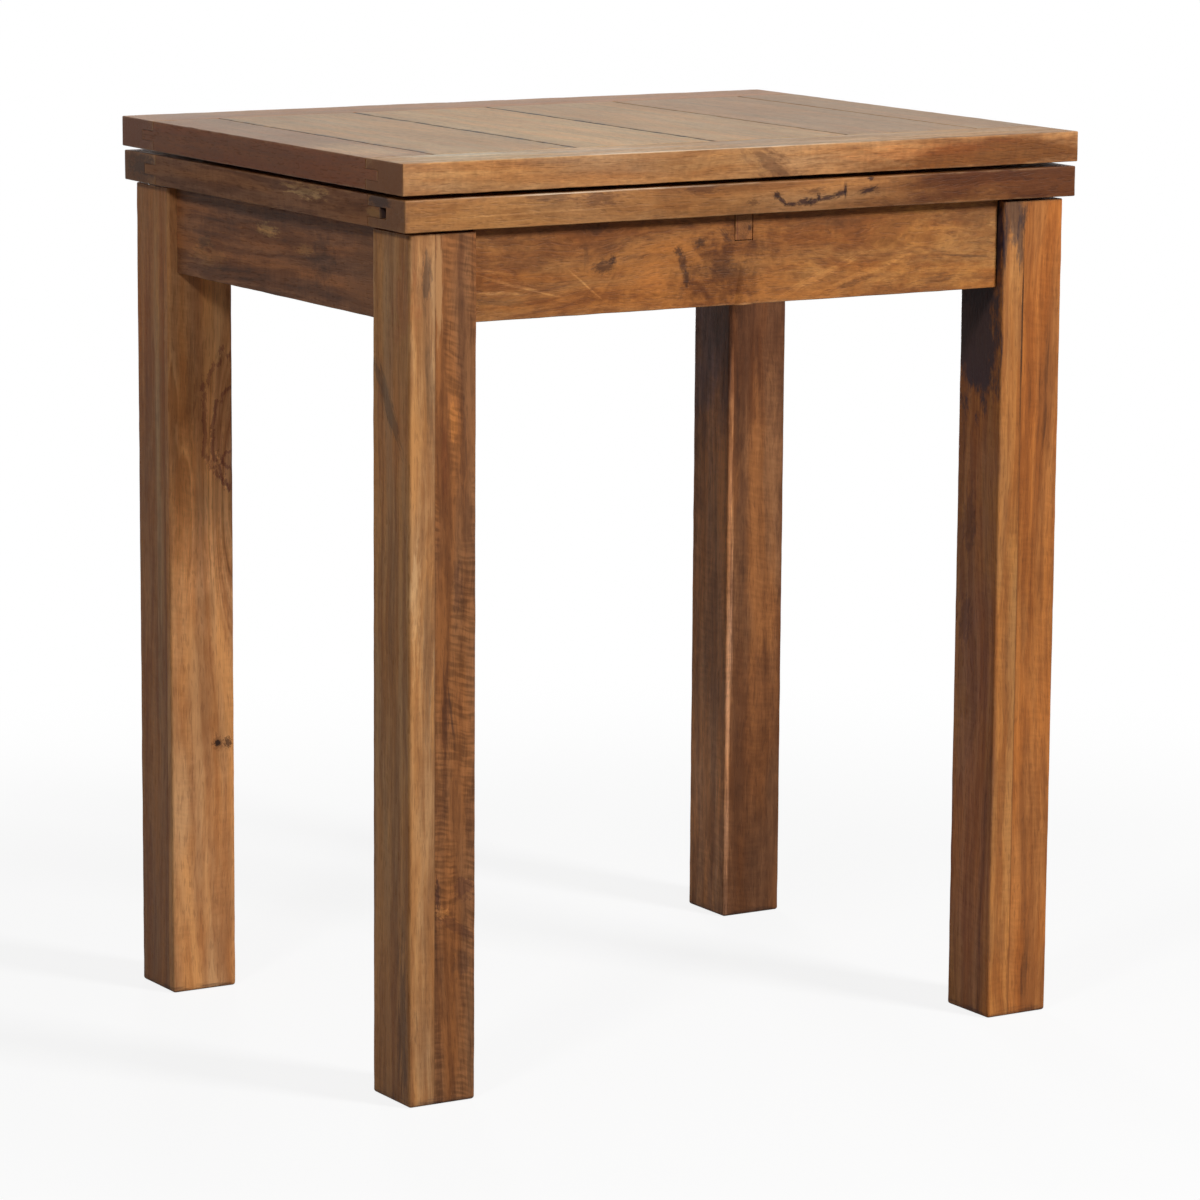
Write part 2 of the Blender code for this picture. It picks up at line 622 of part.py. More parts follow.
def make_pads(parent, finish):
    half = LEAF_GAP / 2 - SEAT_GAP
    radius = PAD_DIAMETER / 2
    for name, side in SIDES:
        shape = lathe([(0.0, half), (radius - PAD_ROUND, half), (radius, half - PAD_ROUND),
                       (radius, -half), (0.0, -half)])
        place = (side * PAD_X, PAD_Y, GAP_MIDDLE)
        add_piece("leaf_pad_" + name, shape, finish, parent, place, smooth=True)


def make_leaf(prefix, parent, finishes, level, facing, width, front_spare):
    rails = make_leaf_rails(prefix, parent, finishes["leaf"], level, width, front_spare)
    make_leaf_boards(prefix, parent, finishes["leaf"], level, width)
    make_hinge_half(prefix, parent, finishes, rails["back"], facing)


def main():
    clear_scene()
    finishes = {
        "leg": make_finish("leg_wood", (0.36, 0.19, 0.09), 0.50),
        "apron": make_finish("apron_wood", (0.33, 0.17, 0.075), 0.52),
        "leaf": make_finish("leaf_wood", (0.37, 0.20, 0.10), 0.42),
        "hidden": make_finish("runner_wood", (0.30, 0.17, 0.085), 0.60),
        "hinge": make_finish("hinge_brass", (0.62, 0.44, 0.18), 0.38, 1.0),
        "screw": make_finish("screw_brass", (0.58, 0.42, 0.19), 0.35, 1.0),
        "steel": make_finish("screw_steel", (0.45, 0.44, 0.42), 0.40, 1.0),
        "pad": make_finish("pad_felt", (0.12, 0.09, 0.07), 0.95),
    }
    base = make_empty("base_frame", None, (0, 0, 0))
    carriage = make_empty("slide_axis", base, (0, 0, APRON_TOP))
    flip = make_empty("flip_axis", carriage, (0, HINGE_Y, GAP_MIDDLE))

    make_legs(base, finishes["leg"])
    make_aprons(base, finishes["apron"])
    make_slide_rail(base, finishes["hidden"])
    make_corner_blocks(base, finishes["hidden"])

    make_leaf("lower", carriage, finishes, LOWER_MIDDLE, 1, LOWER_WIDTH, LOWER_FRONT_SPARE)
    make_guide(carriage, finishes["hidden"], finishes["steel"])
    make_hinge_pins(carriage, finishes["hinge"])
    make_pads(carriage, finishes["pad"])

    make_leaf("upper", flip, finishes, UPPER_MIDDLE, -1, TOP_WIDTH, END_GROOVE_SPARE)


main()
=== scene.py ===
import json
import math

import bmesh
import bpy
from mathutils import Euler, Matrix, Vector

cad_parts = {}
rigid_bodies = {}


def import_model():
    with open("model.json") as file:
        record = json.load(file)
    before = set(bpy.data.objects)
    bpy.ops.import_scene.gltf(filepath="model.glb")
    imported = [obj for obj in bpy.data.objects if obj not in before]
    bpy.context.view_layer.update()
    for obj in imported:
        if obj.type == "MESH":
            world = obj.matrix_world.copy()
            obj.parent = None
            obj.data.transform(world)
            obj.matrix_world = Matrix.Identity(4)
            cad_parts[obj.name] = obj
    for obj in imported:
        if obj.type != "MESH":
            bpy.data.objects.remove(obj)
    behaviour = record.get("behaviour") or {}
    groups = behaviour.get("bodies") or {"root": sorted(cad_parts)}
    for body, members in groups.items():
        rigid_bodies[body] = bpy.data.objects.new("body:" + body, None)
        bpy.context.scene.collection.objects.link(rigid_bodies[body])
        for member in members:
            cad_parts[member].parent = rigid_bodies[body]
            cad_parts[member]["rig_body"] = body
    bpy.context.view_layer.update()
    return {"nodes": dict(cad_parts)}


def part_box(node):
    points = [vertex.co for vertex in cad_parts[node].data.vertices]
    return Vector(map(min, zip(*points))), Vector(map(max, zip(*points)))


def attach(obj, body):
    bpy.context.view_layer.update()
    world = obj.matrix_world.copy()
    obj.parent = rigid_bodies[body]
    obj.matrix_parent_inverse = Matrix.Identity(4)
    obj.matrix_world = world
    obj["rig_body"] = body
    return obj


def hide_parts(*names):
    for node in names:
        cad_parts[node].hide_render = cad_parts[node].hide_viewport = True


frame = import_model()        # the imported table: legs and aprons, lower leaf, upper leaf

scene = bpy.context.scene
scene.view_settings.view_transform = "Standard"

xAxis, yAxis, zAxis = 0, 1, 2
touch = 1e-5              # places nearer than this count as one
facing = 0.9              # how far the normal of a face has to point along an axis


# Camera at the photograph's angle; sizes in metres, angles in degrees
cameraView = {
    "azimuth": 31.26,
    "elevation": 10.21,
    "roll": 0.40,
    "distance": 4.397,
    "aim": (0, 0, 0.38),
    "offset": (0.0066, -0.0298),
    "lensMm": 153.43,
    "sensorMm": 36,
}


def addCamera(view):
    turn, drop, roll = (math.radians(view[key]) for key in ("azimuth", "elevation", "roll"))
    ahead = Vector((math.sin(turn) * math.cos(drop), math.cos(turn) * math.cos(drop), -math.sin(drop)))
    right = Vector((math.cos(turn), -math.sin(turn), 0))
    up = right.cross(ahead)
    place = Vector(view["aim"]) - ahead * view["distance"]
    place += right * view["offset"][0] + up * view["offset"][1]
    rolledRight = right * math.cos(roll) + up * math.sin(roll)
    rolledUp = up * math.cos(roll) - right * math.sin(roll)
    data = bpy.data.cameras.new("photoCamera")
    data.lens = view["lensMm"]
    data.sensor_width = view["sensorMm"]
    camera = bpy.data.objects.new("photoCamera", data)
    scene.collection.objects.link(camera)
    turned = Matrix((rolledRight, rolledUp, -ahead)).transposed().to_4x4()
    camera.matrix_world = Matrix.Translation(place) @ turned
    scene.camera = camera


addCamera(cameraView)
print("camera placed")


# Node helpers; a new node goes into the tree of the sockets that feed it
def tone(colour):
    # a colour as a screen shows it, 0 to 255, as the linear colour that the nodes use
    shares = [value / 255 for value in colour]
    return (*[s / 12.92 if s <= 0.04045 else ((s + 0.055) / 1.055) ** 2.4 for s in shares], 1)


def newNode(kind, *sources, **settings):
    tree = next(source.id_data for source in sources if isinstance(source, bpy.types.NodeSocket))
    node = tree.nodes.new(kind)
    for name, value in settings.items():
        setattr(node, name, value)
    return node


def feed(socket, value):
    if isinstance(value, bpy.types.NodeSocket):
        socket.id_data.links.new(value, socket)
    else:
        socket.default_value = value


def feedNamed(node, values):
    for title, value in values.items():
        feed(node.inputs[title], value)


def calc(operation, *values, clamp=False):
    node = newNode("ShaderNodeMath", *values, operation=operation, use_clamp=clamp)
    for socket, value in zip(node.inputs, values):
        feed(socket, value)
    return node.outputs[0]


def vectorCalc(operation, *values):
    node = newNode("ShaderNodeVectorMath", *values, operation=operation)
    for socket, value in zip(node.inputs, values):
        feed(socket, value)
    return node.outputs["Value" if operation == "LENGTH" else "Vector"]


def scaleVector(vector, factor):
    node = newNode("ShaderNodeVectorMath", vector, operation="SCALE")
    feed(node.inputs[0], vector)
    feed(node.inputs["Scale"], factor)
    return node.outputs[0]


def splitVector(vector):
    node = newNode("ShaderNodeSeparateXYZ", vector)
    feed(node.inputs[0], vector)
    return node.outputs


def smoothStep(value, low, high, outLow=0.0, outHigh=1.0):
    node = newNode("ShaderNodeMapRange", value, interpolation_type="SMOOTHSTEP")
    feedNamed(node, {"Value": value, "From Min": low, "From Max": high})
    feedNamed(node, {"To Min": outLow, "To Max": outHigh})
    return node.outputs["Result"]


def noise(vector, stretch, detail=1, rough=0.5):
    # the stretch gives how many waves there are to the metre along each axis
    node = newNode("ShaderNodeTexNoise", vector)
    scaled = vectorCalc("MULTIPLY", vector, stretch)
    feedNamed(node, {"Vector": scaled, "Scale": 1, "Detail": detail, "Roughness": rough})
    return node


def mixColour(share, first, second):
    node = newNode("ShaderNodeMix", share, first, second, data_type="RGBA", clamp_factor=True)
    for number, value in ((0, share), (6, first), (7, second)):      # its factor and its two colours
        feed(node.inputs[number], value)
    return node.outputs[2]


def newGroup(name, inputs, outputs):
    tree = bpy.data.node_groups.new(name, "ShaderNodeTree")
    for way, sockets in (("INPUT", inputs), ("OUTPUT", outputs)):
        for title, kind in sockets.items():
            tree.interface.new_socket(name=title, in_out=way, socket_type="NodeSocket" + kind)
    return tree, tree.nodes.new("NodeGroupInput").outputs, tree.nodes.new("NodeGroupOutput").inputs


def placeGroup(group, **values):
    node = newNode("ShaderNodeGroup", *values.values(), node_tree=group)
    feedNamed(node, values)
    return node.outputs


# Layers of the grain: waves to the metre along the board and across it, then detail and roughness
grainLayers = {
    "slowBend": (2.4, 11, 1, 0.5),
    "quickBend": (15, 60, 2, 0.5),
    "lateGate": (3, 12, 1, 0.5),
    "fibre": (24, 950, 1, 0.5),
    "streak": (4, 130, 3, 0.6),
    "mottle": (48, 130, 4, 0.65),
    "blotch": (7, 22, 3, 0.55),
    "fleck": (170, 430, 2, 0.6),
    "pore": (95, 900, 0, 0.5),
    "curl": (290, 50, 1, 0.5),
    "curled": (8, 55, 1, 0.5),
    "stain": (2.6, 70, 2, 0.5),
    "warmth": (5, 48, 2, 0.5),
}
# From where to where a ring, a layer or the depth of the grain counts, and what it then gives
grainLevels = {
    "lateRise": (0.55, 0.95),
    "lateFall": (1.0, 0.95),
    "lateGate": (0.42, 0.62),
    "pore": (0.60, 0.72),
    "curl": (0.36, 0.64, -1, 1),
    "curled": (0.38, 0.56),
    "stain": (0.56, 0.76),
    "warmth": (0.35, 0.65),
    "brown": (0.1, 0.9),
    "darkStreak": (0.85, 1.5, 0.0, 0.8),
}
# How much a layer adds to the colour, the gloss and the height of the grain
colourShare = {"mottle": 0.75, "lateLine": 0.22, "fibre": 0.36, "curl": 0.24, "pore": 0.24}
glossShare = {"plain": 0.38, "fibre": 0.12, "pore": 0.15, "blotch": 0.16}
heightShare = {"fibre": 0.5, "streak": 0.6, "pore": 0.7, "blotch": 1.2}
grainBend = {"quick": (0.2, 0.2, 0.2), "curlSlant": -0.15}
coolTint, warmTint = (0.93, 1.0, 1.12, 1), (1.06, 0.99, 0.86, 1)
grainColours = ("pale", "mid", "dark")
grainNumbers = ("ringGap", "taper", "wander", "figure", "streak", "blotch", "ripple", "fleck", "mineral")


# The grain of a sawn board: its length runs along X, the heart of the tree lies off to one side
def makeGrainGroup():
    tree, given, result = newGroup(
        "boardGrain",
        {"vector": "Vector", "heart": "Vector", "lift": "Float", **dict.fromkeys(grainColours, "Color"),
         **dict.fromkeys(grainNumbers, "Float")},
        {"Color": "Color", "Roughness": "Float", "Height": "Float"})
    vector = given["vector"]

    def layer(name, at):
        along, across, detail, rough = grainLayers[name]
        return noise(at, (along, across, across), detail, rough).outputs

    def mask(name, at):
        return smoothStep(layer(name, at)["Fac"], *grainLevels[name])

    def swing(value):
        return calc("SUBTRACT", value, 0.5)

    # slow and quick bends of the fibres
    half = (0.5, 0.5, 0.5)
    bend = vectorCalc("SUBTRACT", layer("slowBend", vector)["Color"], half)
    twist = vectorCalc("SUBTRACT", layer("quickBend", vector)["Color"], half)
    bend = vectorCalc("ADD", bend, vectorCalc("MULTIPLY", twist, grainBend["quick"]))
    bent = vectorCalc("ADD", vector, scaleVector(bend, given["wander"]))

    # growth rings round the heart, lifted into closed eyes where a branch left the tree
    along, side, up = splitVector(vectorCalc("SUBTRACT", bent, given["heart"]))
    radius = calc("SQRT", calc("ADD", calc("POWER", side, 2), calc("POWER", up, 2)))
    radius = calc("ADD", radius, calc("MULTIPLY", along, given["taper"]))
    ring = calc("ADD", calc("DIVIDE", radius, given["ringGap"]), given["lift"])
    band = newNode("ShaderNodeTexNoise", ring, noise_dimensions="1D")
    feedNamed(band, {"W": ring, "Scale": 0.6, "Detail": 3, "Roughness": 0.55})
    part = calc("FRACT", ring)
    rise, fall = (smoothStep(part, *grainLevels[name]) for name in ("lateRise", "lateFall"))
    late = calc("MULTIPLY", rise, fall)
    gate = mask("lateGate", vector)

    # fibres, pores, streaks, blotches, slanting curls across the grain and dark mineral stain
    fine = ("fibre", "streak", "mottle", "fleck")
    fibre, streak, mottle, fleck = (layer(name, bent)["Fac"] for name in fine)
    blotch = swing(layer("blotch", vector)["Fac"])
    pores = mask("pore", bent)
    along, side, up = splitVector(bent)
    slant = newNode("ShaderNodeCombineXYZ", along)
    slid = calc("MULTIPLY_ADD", calc("ADD", side, up), grainBend["curlSlant"], along)
    feedNamed(slant, {"X": slid, "Y": side, "Z": up})
    waves = mask("curl", slant.outputs[0])
    curled = mask("curled", vector)
    ripple = calc("MULTIPLY", calc("MULTIPLY", waves, curled), given["ripple"])
    stain = mask("stain", bent)
    mineral = calc("MULTIPLY", stain, given["mineral"])

    # 0 is the palest wood of the board and 1 its brown, past that come the dark streaks
    depth = calc("MULTIPLY_ADD", swing(band.outputs["Fac"]), given["figure"], 0.5)
    depth = calc("MULTIPLY_ADD", swing(streak), given["streak"], depth)
    cloud = calc("MULTIPLY_ADD", swing(mottle), colourShare["mottle"], blotch)
    depth = calc("MULTIPLY_ADD", cloud, given["blotch"], depth)
    lines = calc("MULTIPLY", calc("MULTIPLY", late, gate), given["figure"])
    depth = calc("MULTIPLY_ADD", lines, colourShare["lateLine"], depth)
    colour = mixColour(smoothStep(depth, *grainLevels["brown"]), given["pale"], given["mid"])
    colour = mixColour(smoothStep(depth, *grainLevels["darkStreak"]), colour, given["dark"])
    hue = mixColour(mask("warmth", bent), coolTint, warmTint)
    light = calc("MULTIPLY_ADD", swing(fibre), colourShare["fibre"], 1.0)
    light = calc("MULTIPLY_ADD", ripple, colourShare["curl"], light)
    light = calc("MULTIPLY_ADD", swing(fleck), given["fleck"], light)
    colour = scaleVector(vectorCalc("MULTIPLY", colour, hue), light)
    dark = calc("ADD", calc("MULTIPLY", pores, colourShare["pore"]), mineral, clamp=True)
    feed(result["Color"], mixColour(dark, colour, given["dark"]))

    gloss = calc("MULTIPLY_ADD", fibre, glossShare["fibre"], glossShare["plain"])
    gloss = calc("ADD", gloss, calc("MULTIPLY", pores, glossShare["pore"]))
    feed(result["Roughness"], calc("MULTIPLY_ADD", blotch, glossShare["blotch"], gloss))
    ridges = calc("MULTIPLY", swing(streak), heightShare["streak"])
    height = calc("MULTIPLY_ADD", swing(fibre), heightShare["fibre"], ridges)
    height = calc("SUBTRACT", height, calc("MULTIPLY", pores, heightShare["pore"]))
    feed(result["Height"], calc("MULTIPLY_ADD", blotch, heightShare["blotch"], height))
    return tree


# A ragged mark in the wood, such as a streak, a stain or a pale sapwood flame
tornEdge = {"waves": (2.3, 2.3, 2.3), "detail": 5, "rough": 0.68, "levels": (0.3, 0.7, -1, 1),
            "outer": 1.1, "spread": 60}


def makeMarkGroup():
    tree, given, result = newGroup(
        "grainMark",
        {"Vector": "Vector", "Centre": "Vector", "Turn": "Vector", "Reach": "Vector", "Ragged": "Float",
         "Soft": "Float"}, {"Mask": "Float"})
    offset = vectorCalc("SUBTRACT", given["Vector"], given["Centre"])
    turned = newNode("ShaderNodeVectorRotate", offset, rotation_type="EULER_XYZ")
    feedNamed(turned, {"Vector": offset, "Rotation": given["Turn"]})
    away = vectorCalc("DIVIDE", turned.outputs[0], given["Reach"])
    own = vectorCalc("ADD", away, scaleVector(given["Centre"], tornEdge["spread"]))   # no two tear alike
    torn = noise(own, tornEdge["waves"], tornEdge["detail"], tornEdge["rough"]).outputs["Fac"]
    torn = smoothStep(torn, *tornEdge["levels"])
    far = calc("MULTIPLY_ADD", torn, given["Ragged"], vectorCalc("LENGTH", away))
    inner = calc("SUBTRACT", tornEdge["outer"], given["Soft"])
    feed(result["Mask"], smoothStep(far, tornEdge["outer"], inner))
    return tree


# How near a point of a board lies to one of its arrises, 1 on the arris
unevenEdge = {"waves": (55, 55, 55), "detail": 3, "rough": 0.65, "swing": 1.8, "start": -0.75}


def makeArrisGroup():
    tree, given, result = newGroup(
        "arrisWearAndSeamShade", {"Vector": "Vector", "Middle": "Vector", "Half": "Vector", "Reach": "Float"},
        {"Wear": "Float"})
    offset = vectorCalc("ABSOLUTE", vectorCalc("SUBTRACT", given["Vector"], given["Middle"]))
    inside = splitVector(vectorCalc("SUBTRACT", given["Half"], offset))
    total = calc("ADD", calc("ADD", inside[0], inside[1]), inside[2])
    most = calc("MAXIMUM", calc("MAXIMUM", inside[0], inside[1]), inside[2])
    uneven = noise(given["Vector"], unevenEdge["waves"], unevenEdge["detail"], unevenEdge["rough"])
    uneven = calc("MULTIPLY_ADD", uneven.outputs["Fac"], unevenEdge["swing"], unevenEdge["start"])
    edge = calc("DIVIDE", calc("SUBTRACT", total, most), given["Reach"])
    feed(result["Wear"], smoothStep(calc("ADD", edge, uneven), 1.0, 0.0))
    return tree


boardGrain = makeGrainGroup()
grainMark = makeMarkGroup()
arrisWearAndSeamShade = makeArrisGroup()
print("shared grain, mark and arris groups made")


# Wood finishes; each board takes a copy of these with its own changes; colours as a screen shows them
oiledWood = {
    "along": "x",
    "pale": (184, 130, 82),
    "mid": (148, 98, 58),
    "dark": (88, 55, 35),
    "heart": (0, 0.06, -0.09),       # from the middle of the board: along, then across its grain
    "shift": (0, 0, 0),              # which length of the log the board was sawn from
    "ringGap": 0.011,
    "taper": 0.05,
    "wander": 0.03,
    "figure": 1.0,
    "streak": 2.6,
    "blotch": 1.4,
    "ripple": 0.3,
    "fleck": 0.15,
    "mineral": 0.12,
    "wearAndSeamInk": (206, 160, 112),
    "wearAndSeamShare": 0.28,
    "wearAndSeamReach": 0.0030,
    "bump": 0.30,
    "bumpDeep": 0.0006,
    "polish": 0.14,
    "dull": 0.0,
    "haze": 0.0,
    "hazeSpread": 0.3,
    "eyes": (),
    "marks": (),
}
glueLine = {"half": 0.0009, "core": 0.0002, "share": 0.4}
grainTurn = {"x": (0, 0, 0), "y": (0, 0, math.radians(-90)), "z": (0, math.radians(90), 0)}


def mark(at, reach, ink, share, ragged=0.5, turn=(0, 0, 0), soft=0.6, flat=False):
    # the ink is what the board's brown turns to, so that its grain still shows, unless it is laid on flat
    return {"at": at, "reach": reach, "ink": tone(ink), "share": share, "ragged": ragged, "turn": turn,
            "soft": soft, "flat": flat}


def marksOn(node, axis, deep, corner=0):
    # marks on the face of a piece that looks along one axis: place and reach by the two other axes
    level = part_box(node)[corner][axis]

    def onFace(first, second, across):
        return (*(first, second)[:axis], across, *(first, second)[axis:])

    def layMark(u, v, wide, tall, ink, share, ragged=0.5, lean=0, soft=0.6, flat=False, deep=deep):
        at, reach, turn = onFace(u, v, level), onFace(wide, tall, deep), onFace(0, 0, lean)
        return mark(at, reach, ink, share, ragged, turn, soft, flat)

    return layMark


def wash(layMark, u, v, wide, tall, ink, share=0.9, soft=1.0, deep=0.006, ragged=0.25):
    # a broad change of tone with no edge to it
    return layMark(u, v, wide, tall, ink, share, ragged, soft=soft, deep=deep)


archLine = {"share": 0.8, "ragged": 0.2, "soft": 0.06}


def archMarks(layMark, u, v, wide, tall, line, ink, inside, deep=0.02):
    # a dark line round an arch of the grain: a dark patch, and a smaller one in it that takes the dark away
    return [layMark(u, v, wide - less, tall - less, colour, deep=deep - less, **archLine)
            for less, colour in ((0, ink), (line, inside))]


def eyeLift(place, eyes):
    # each eye is a place, how far it reaches and how many rings it adds
    total = 0.0
    for at, reach, rings in eyes:
        away = vectorCalc("DIVIDE", vectorCalc("SUBTRACT", place, at), reach)
        fall = calc("MULTIPLY", calc("POWER", vectorCalc("LENGTH", away), 2), -1)
        total = calc("MULTIPLY_ADD", calc("EXPONENT", fall), rings, total)
    return total


def grainNode(place, middle, look):
    turn, shift = grainTurn[look["along"]], Vector(look["shift"])
    mapping = newNode("ShaderNodeMapping", place, vector_type="POINT")
    feedNamed(mapping, {"Vector": place, "Rotation": turn, "Location": shift})
    heart = Euler(turn).to_matrix() @ middle + shift + Vector(look["heart"])
    return placeGroup(boardGrain, vector=mapping.outputs[0], heart=heart, lift=eyeLift(place, look["eyes"]),
                      **{key: look[key] for key in (*grainColours, *grainNumbers)})


def startMaterial(name):
    material = bpy.data.materials.new(name)
    material.use_nodes = True
    nodes = material.node_tree.nodes
    return material, nodes["Principled BSDF"], nodes.new("ShaderNodeTexCoord").outputs["Object"]


def addBump(shader, height, strength, deep):
    bump = newNode("ShaderNodeBump", height)
    feedNamed(bump, {"Strength": strength, "Distance": deep, "Height": height})
    feed(shader.inputs["Normal"], bump.outputs[0])


def woodLook(*layers):
    look = {key: value for layer in layers for key, value in layer.items()}
    return {**look, **{key: tone(look[key]) for key in (*grainColours, "wearAndSeamInk")}}


def makeWood(name, low, high, **changes):
    look = woodLook(oiledWood, changes)
    material, shader, place = startMaterial(name)
    middle = (low + high) / 2
    grain = grainNode(place, middle, look)
    colour = grain["Color"]
    if "stave" in look:       # a second stave glued on beyond a plane across one axis
        stave = woodLook(oiledWood, changes, look["stave"])
        across = splitVector(place)[stave["axis"]]
        beyond = calc("GREATER_THAN", across, stave["line"])
        colour = mixColour(beyond, colour, grainNode(place, middle, stave)["Color"])
        glue = calc("ABSOLUTE", calc("SUBTRACT", across, stave["line"]))
        glue = smoothStep(glue, glueLine["half"], glueLine["core"], 0.0, glueLine["share"])
        colour = mixColour(glue, colour, look["dark"])
    for one in look["marks"]:
        wood = stave if "stave" in look and one["at"][stave["axis"]] > stave["line"] else look
        mask = placeGroup(grainMark, Vector=place, Centre=one["at"], Reach=one["reach"],
                          Turn=[math.radians(angle) for angle in one["turn"]], Ragged=one["ragged"],
                          Soft=one["soft"])["Mask"]
        tint = [ink / base for ink, base in zip(one["ink"][:3], wood["mid"])]
        tinted = one["ink"] if one["flat"] else vectorCalc("MULTIPLY", colour, tint)
        colour = mixColour(calc("MULTIPLY", mask, one["share"]), colour, tinted)
    # pale wear along the arrises; on the upper planks the same mask lays dirt and painted shade along the
    # seams
    wearAndSeamShade = placeGroup(arrisWearAndSeamShade, Vector=place, Middle=middle, Half=(high - low) / 2,
                      Reach=look["wearAndSeamReach"])["Wear"]
    colour = mixColour(calc("MULTIPLY", wearAndSeamShade, look["wearAndSeamShare"]), colour, look["wearAndSeamInk"])
    feedNamed(shader, {"Base Color": colour, "Roughness": calc("ADD", grain["Roughness"], look["dull"]),
                       "Specular IOR Level": look["polish"], "Sheen Weight": look["haze"],
                       "Sheen Roughness": look["hazeSpread"]})
    addBump(shader, grain["Height"], look["bump"], look["bumpDeep"])
    return material


# Metal of the hinges and screws, rubbed bright along its length
def makeMetal(name, metal):
    material, shader, place = startMaterial(name)
    brushed = noise(place, metal["brushed"]).outputs["Fac"]
    clouds = noise(place, metal["clouds"], metal["cloudDetail"]).outputs["Fac"]
    tarnish = smoothStep(clouds, *metal["tarnish"])
    gloss = calc("MULTIPLY_ADD", brushed, metal["brushGloss"], metal["roughness"])
    gloss = calc("ADD", gloss, calc("MULTIPLY", tarnish, metal["tarnishGloss"]))
    colour = mixColour(tarnish, tone(metal["bright"]), tone(metal["stain"]))
    feedNamed(shader, {"Base Color": colour, "Roughness": gloss, "Metallic": 1})
    addBump(shader, brushed, metal["bump"], metal["bumpDeep"])
    return material


# Pressed felt of the pads between the leaves
def makeFelt(name, felt):
    material, shader, place = startMaterial(name)
    fuzz = noise(place, felt["fuzz"], felt["fuzzDetail"], felt["fuzzRough"]).outputs["Fac"]
    lint = smoothStep(fuzz, *felt["lintLevels"])
    colour = mixColour(lint, tone(felt["colour"]), tone(felt["lint"]))
    feedNamed(shader, {"Base Color": colour, "Roughness": felt["roughness"],
                       "Specular IOR Level": felt["polish"]})
    addBump(shader, fuzz, felt["bump"], felt["bumpDeep"])
    return material


# Modelling helpers, all in edit mode
handSanded = {"size": 0.022, "detail": 2, "depth": 0.0007, "smoothAngle": 38, "sharpAngle": 60}


def clearSelection():
    if bpy.context.object and bpy.context.object.mode != "OBJECT":
        bpy.ops.object.mode_set(mode="OBJECT")
    bpy.ops.object.select_all(action="DESELECT")


def makeActive(piece):
    clearSelection()
    piece.select_set(True)
    bpy.context.view_layer.objects.active = piece


def edit(piece):
    makeActive(piece)
    bpy.ops.object.mode_set(mode="EDIT")


def startBlock(name, low, high):
    clearSelection()
    bpy.ops.mesh.primitive_cube_add(size=1, location=(low + high) / 2, scale=high - low)
    piece = bpy.context.object
    piece.name = piece.data.name = name
    bpy.ops.object.transform_apply(location=True, rotation=True, scale=True)
    edit(piece)
    return piece


def onAxis(axis, value):
    vector = Vector((0, 0, 0))
    vector[axis] = value
    return vector


def cutAcross(axis, places):
    for place in places:
        bpy.ops.mesh.select_all(action="SELECT")
        bpy.ops.mesh.bisect(plane_co=onAxis(axis, place), plane_no=onAxis(axis, 1))


def cutEvenly(axis, low, high, step):
    count = max(1, round((high - low) / step))
    cutAcross(axis, [low + (high - low) * k / count for k in range(1, count)])


def pickFaces(piece, test):
    bpy.ops.mesh.select_mode(type="FACE")
    bpy.ops.mesh.select_all(action="DESELECT")
    mesh = bmesh.from_edit_mesh(piece.data)
    for face in mesh.faces:
        face.select_set(test(face.calc_center_median(), face.normal))
    bmesh.update_edit_mesh(piece.data)


def pickArrises(piece, test):
    bpy.ops.mesh.select_mode(type="EDGE")
    bpy.ops.mesh.select_all(action="DESELECT")
    mesh = bmesh.from_edit_mesh(piece.data)
    sharpest = math.radians(handSanded["sharpAngle"])
    for edge in mesh.edges:
        sharp = edge.is_manifold and edge.calc_face_angle() > sharpest
        edge.select_set(sharp and test((edge.verts[0].co + edge.verts[1].co) / 2))
    bmesh.update_edit_mesh(piece.data)


def pushFaces(move):
    bpy.ops.mesh.extrude_region_move(TRANSFORM_OT_translate={"value": move})


def roundArrises(piece, radius, steps, test):
    pickArrises(piece, test)
    bpy.ops.mesh.bevel(offset=radius, offset_type="OFFSET", segments=steps, profile=0.5, affect="EDGES")
    if "arris" not in piece.vertex_groups:
        bpy.ops.object.vertex_group_add()
        piece.vertex_groups.active.name = "arris"
    bpy.ops.object.vertex_group_assign()


def useModifier(piece, kind, **settings):
    modifier = piece.modifiers.new(kind.lower(), kind)
    for name, value in settings.items():
        setattr(modifier, name, value)
    bpy.ops.object.modifier_apply(modifier=modifier.name)


sandedArris = bpy.data.textures.new("sandedArris", "CLOUDS")
sandedArris.noise_scale = handSanded["size"]
sandedArris.noise_depth = handSanded["detail"]


def cutPocket(piece, low, high):
    cutter = startBlock("pocketCutter", low, high)
    makeActive(piece)
    useModifier(piece, "BOOLEAN", operation="DIFFERENCE", solver="EXACT", object=cutter)
    bpy.data.objects.remove(cutter, do_unlink=True)


def finishPiece(piece, node, material, sanded=True, pockets=()):
    makeActive(piece)
    if sanded:                # hand sanding takes the arrises down unevenly, never outwards
        useModifier(piece, "DISPLACE", texture=sandedArris, texture_coords="LOCAL", vertex_group="arris",
                    strength=handSanded["depth"], mid_level=1.0)
    for low, high in pockets:
        cutPocket(piece, low, high)
    bpy.ops.object.shade_smooth_by_angle(angle=math.radians(handSanded["smoothAngle"]))
    useModifier(piece, "WEIGHTED_NORMAL", keep_sharp=True)
    piece.vertex_groups.clear()
    piece.data.materials.clear()
    piece.data.materials.append(material)
    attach(piece, frame["nodes"][node]["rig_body"])
    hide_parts(node)


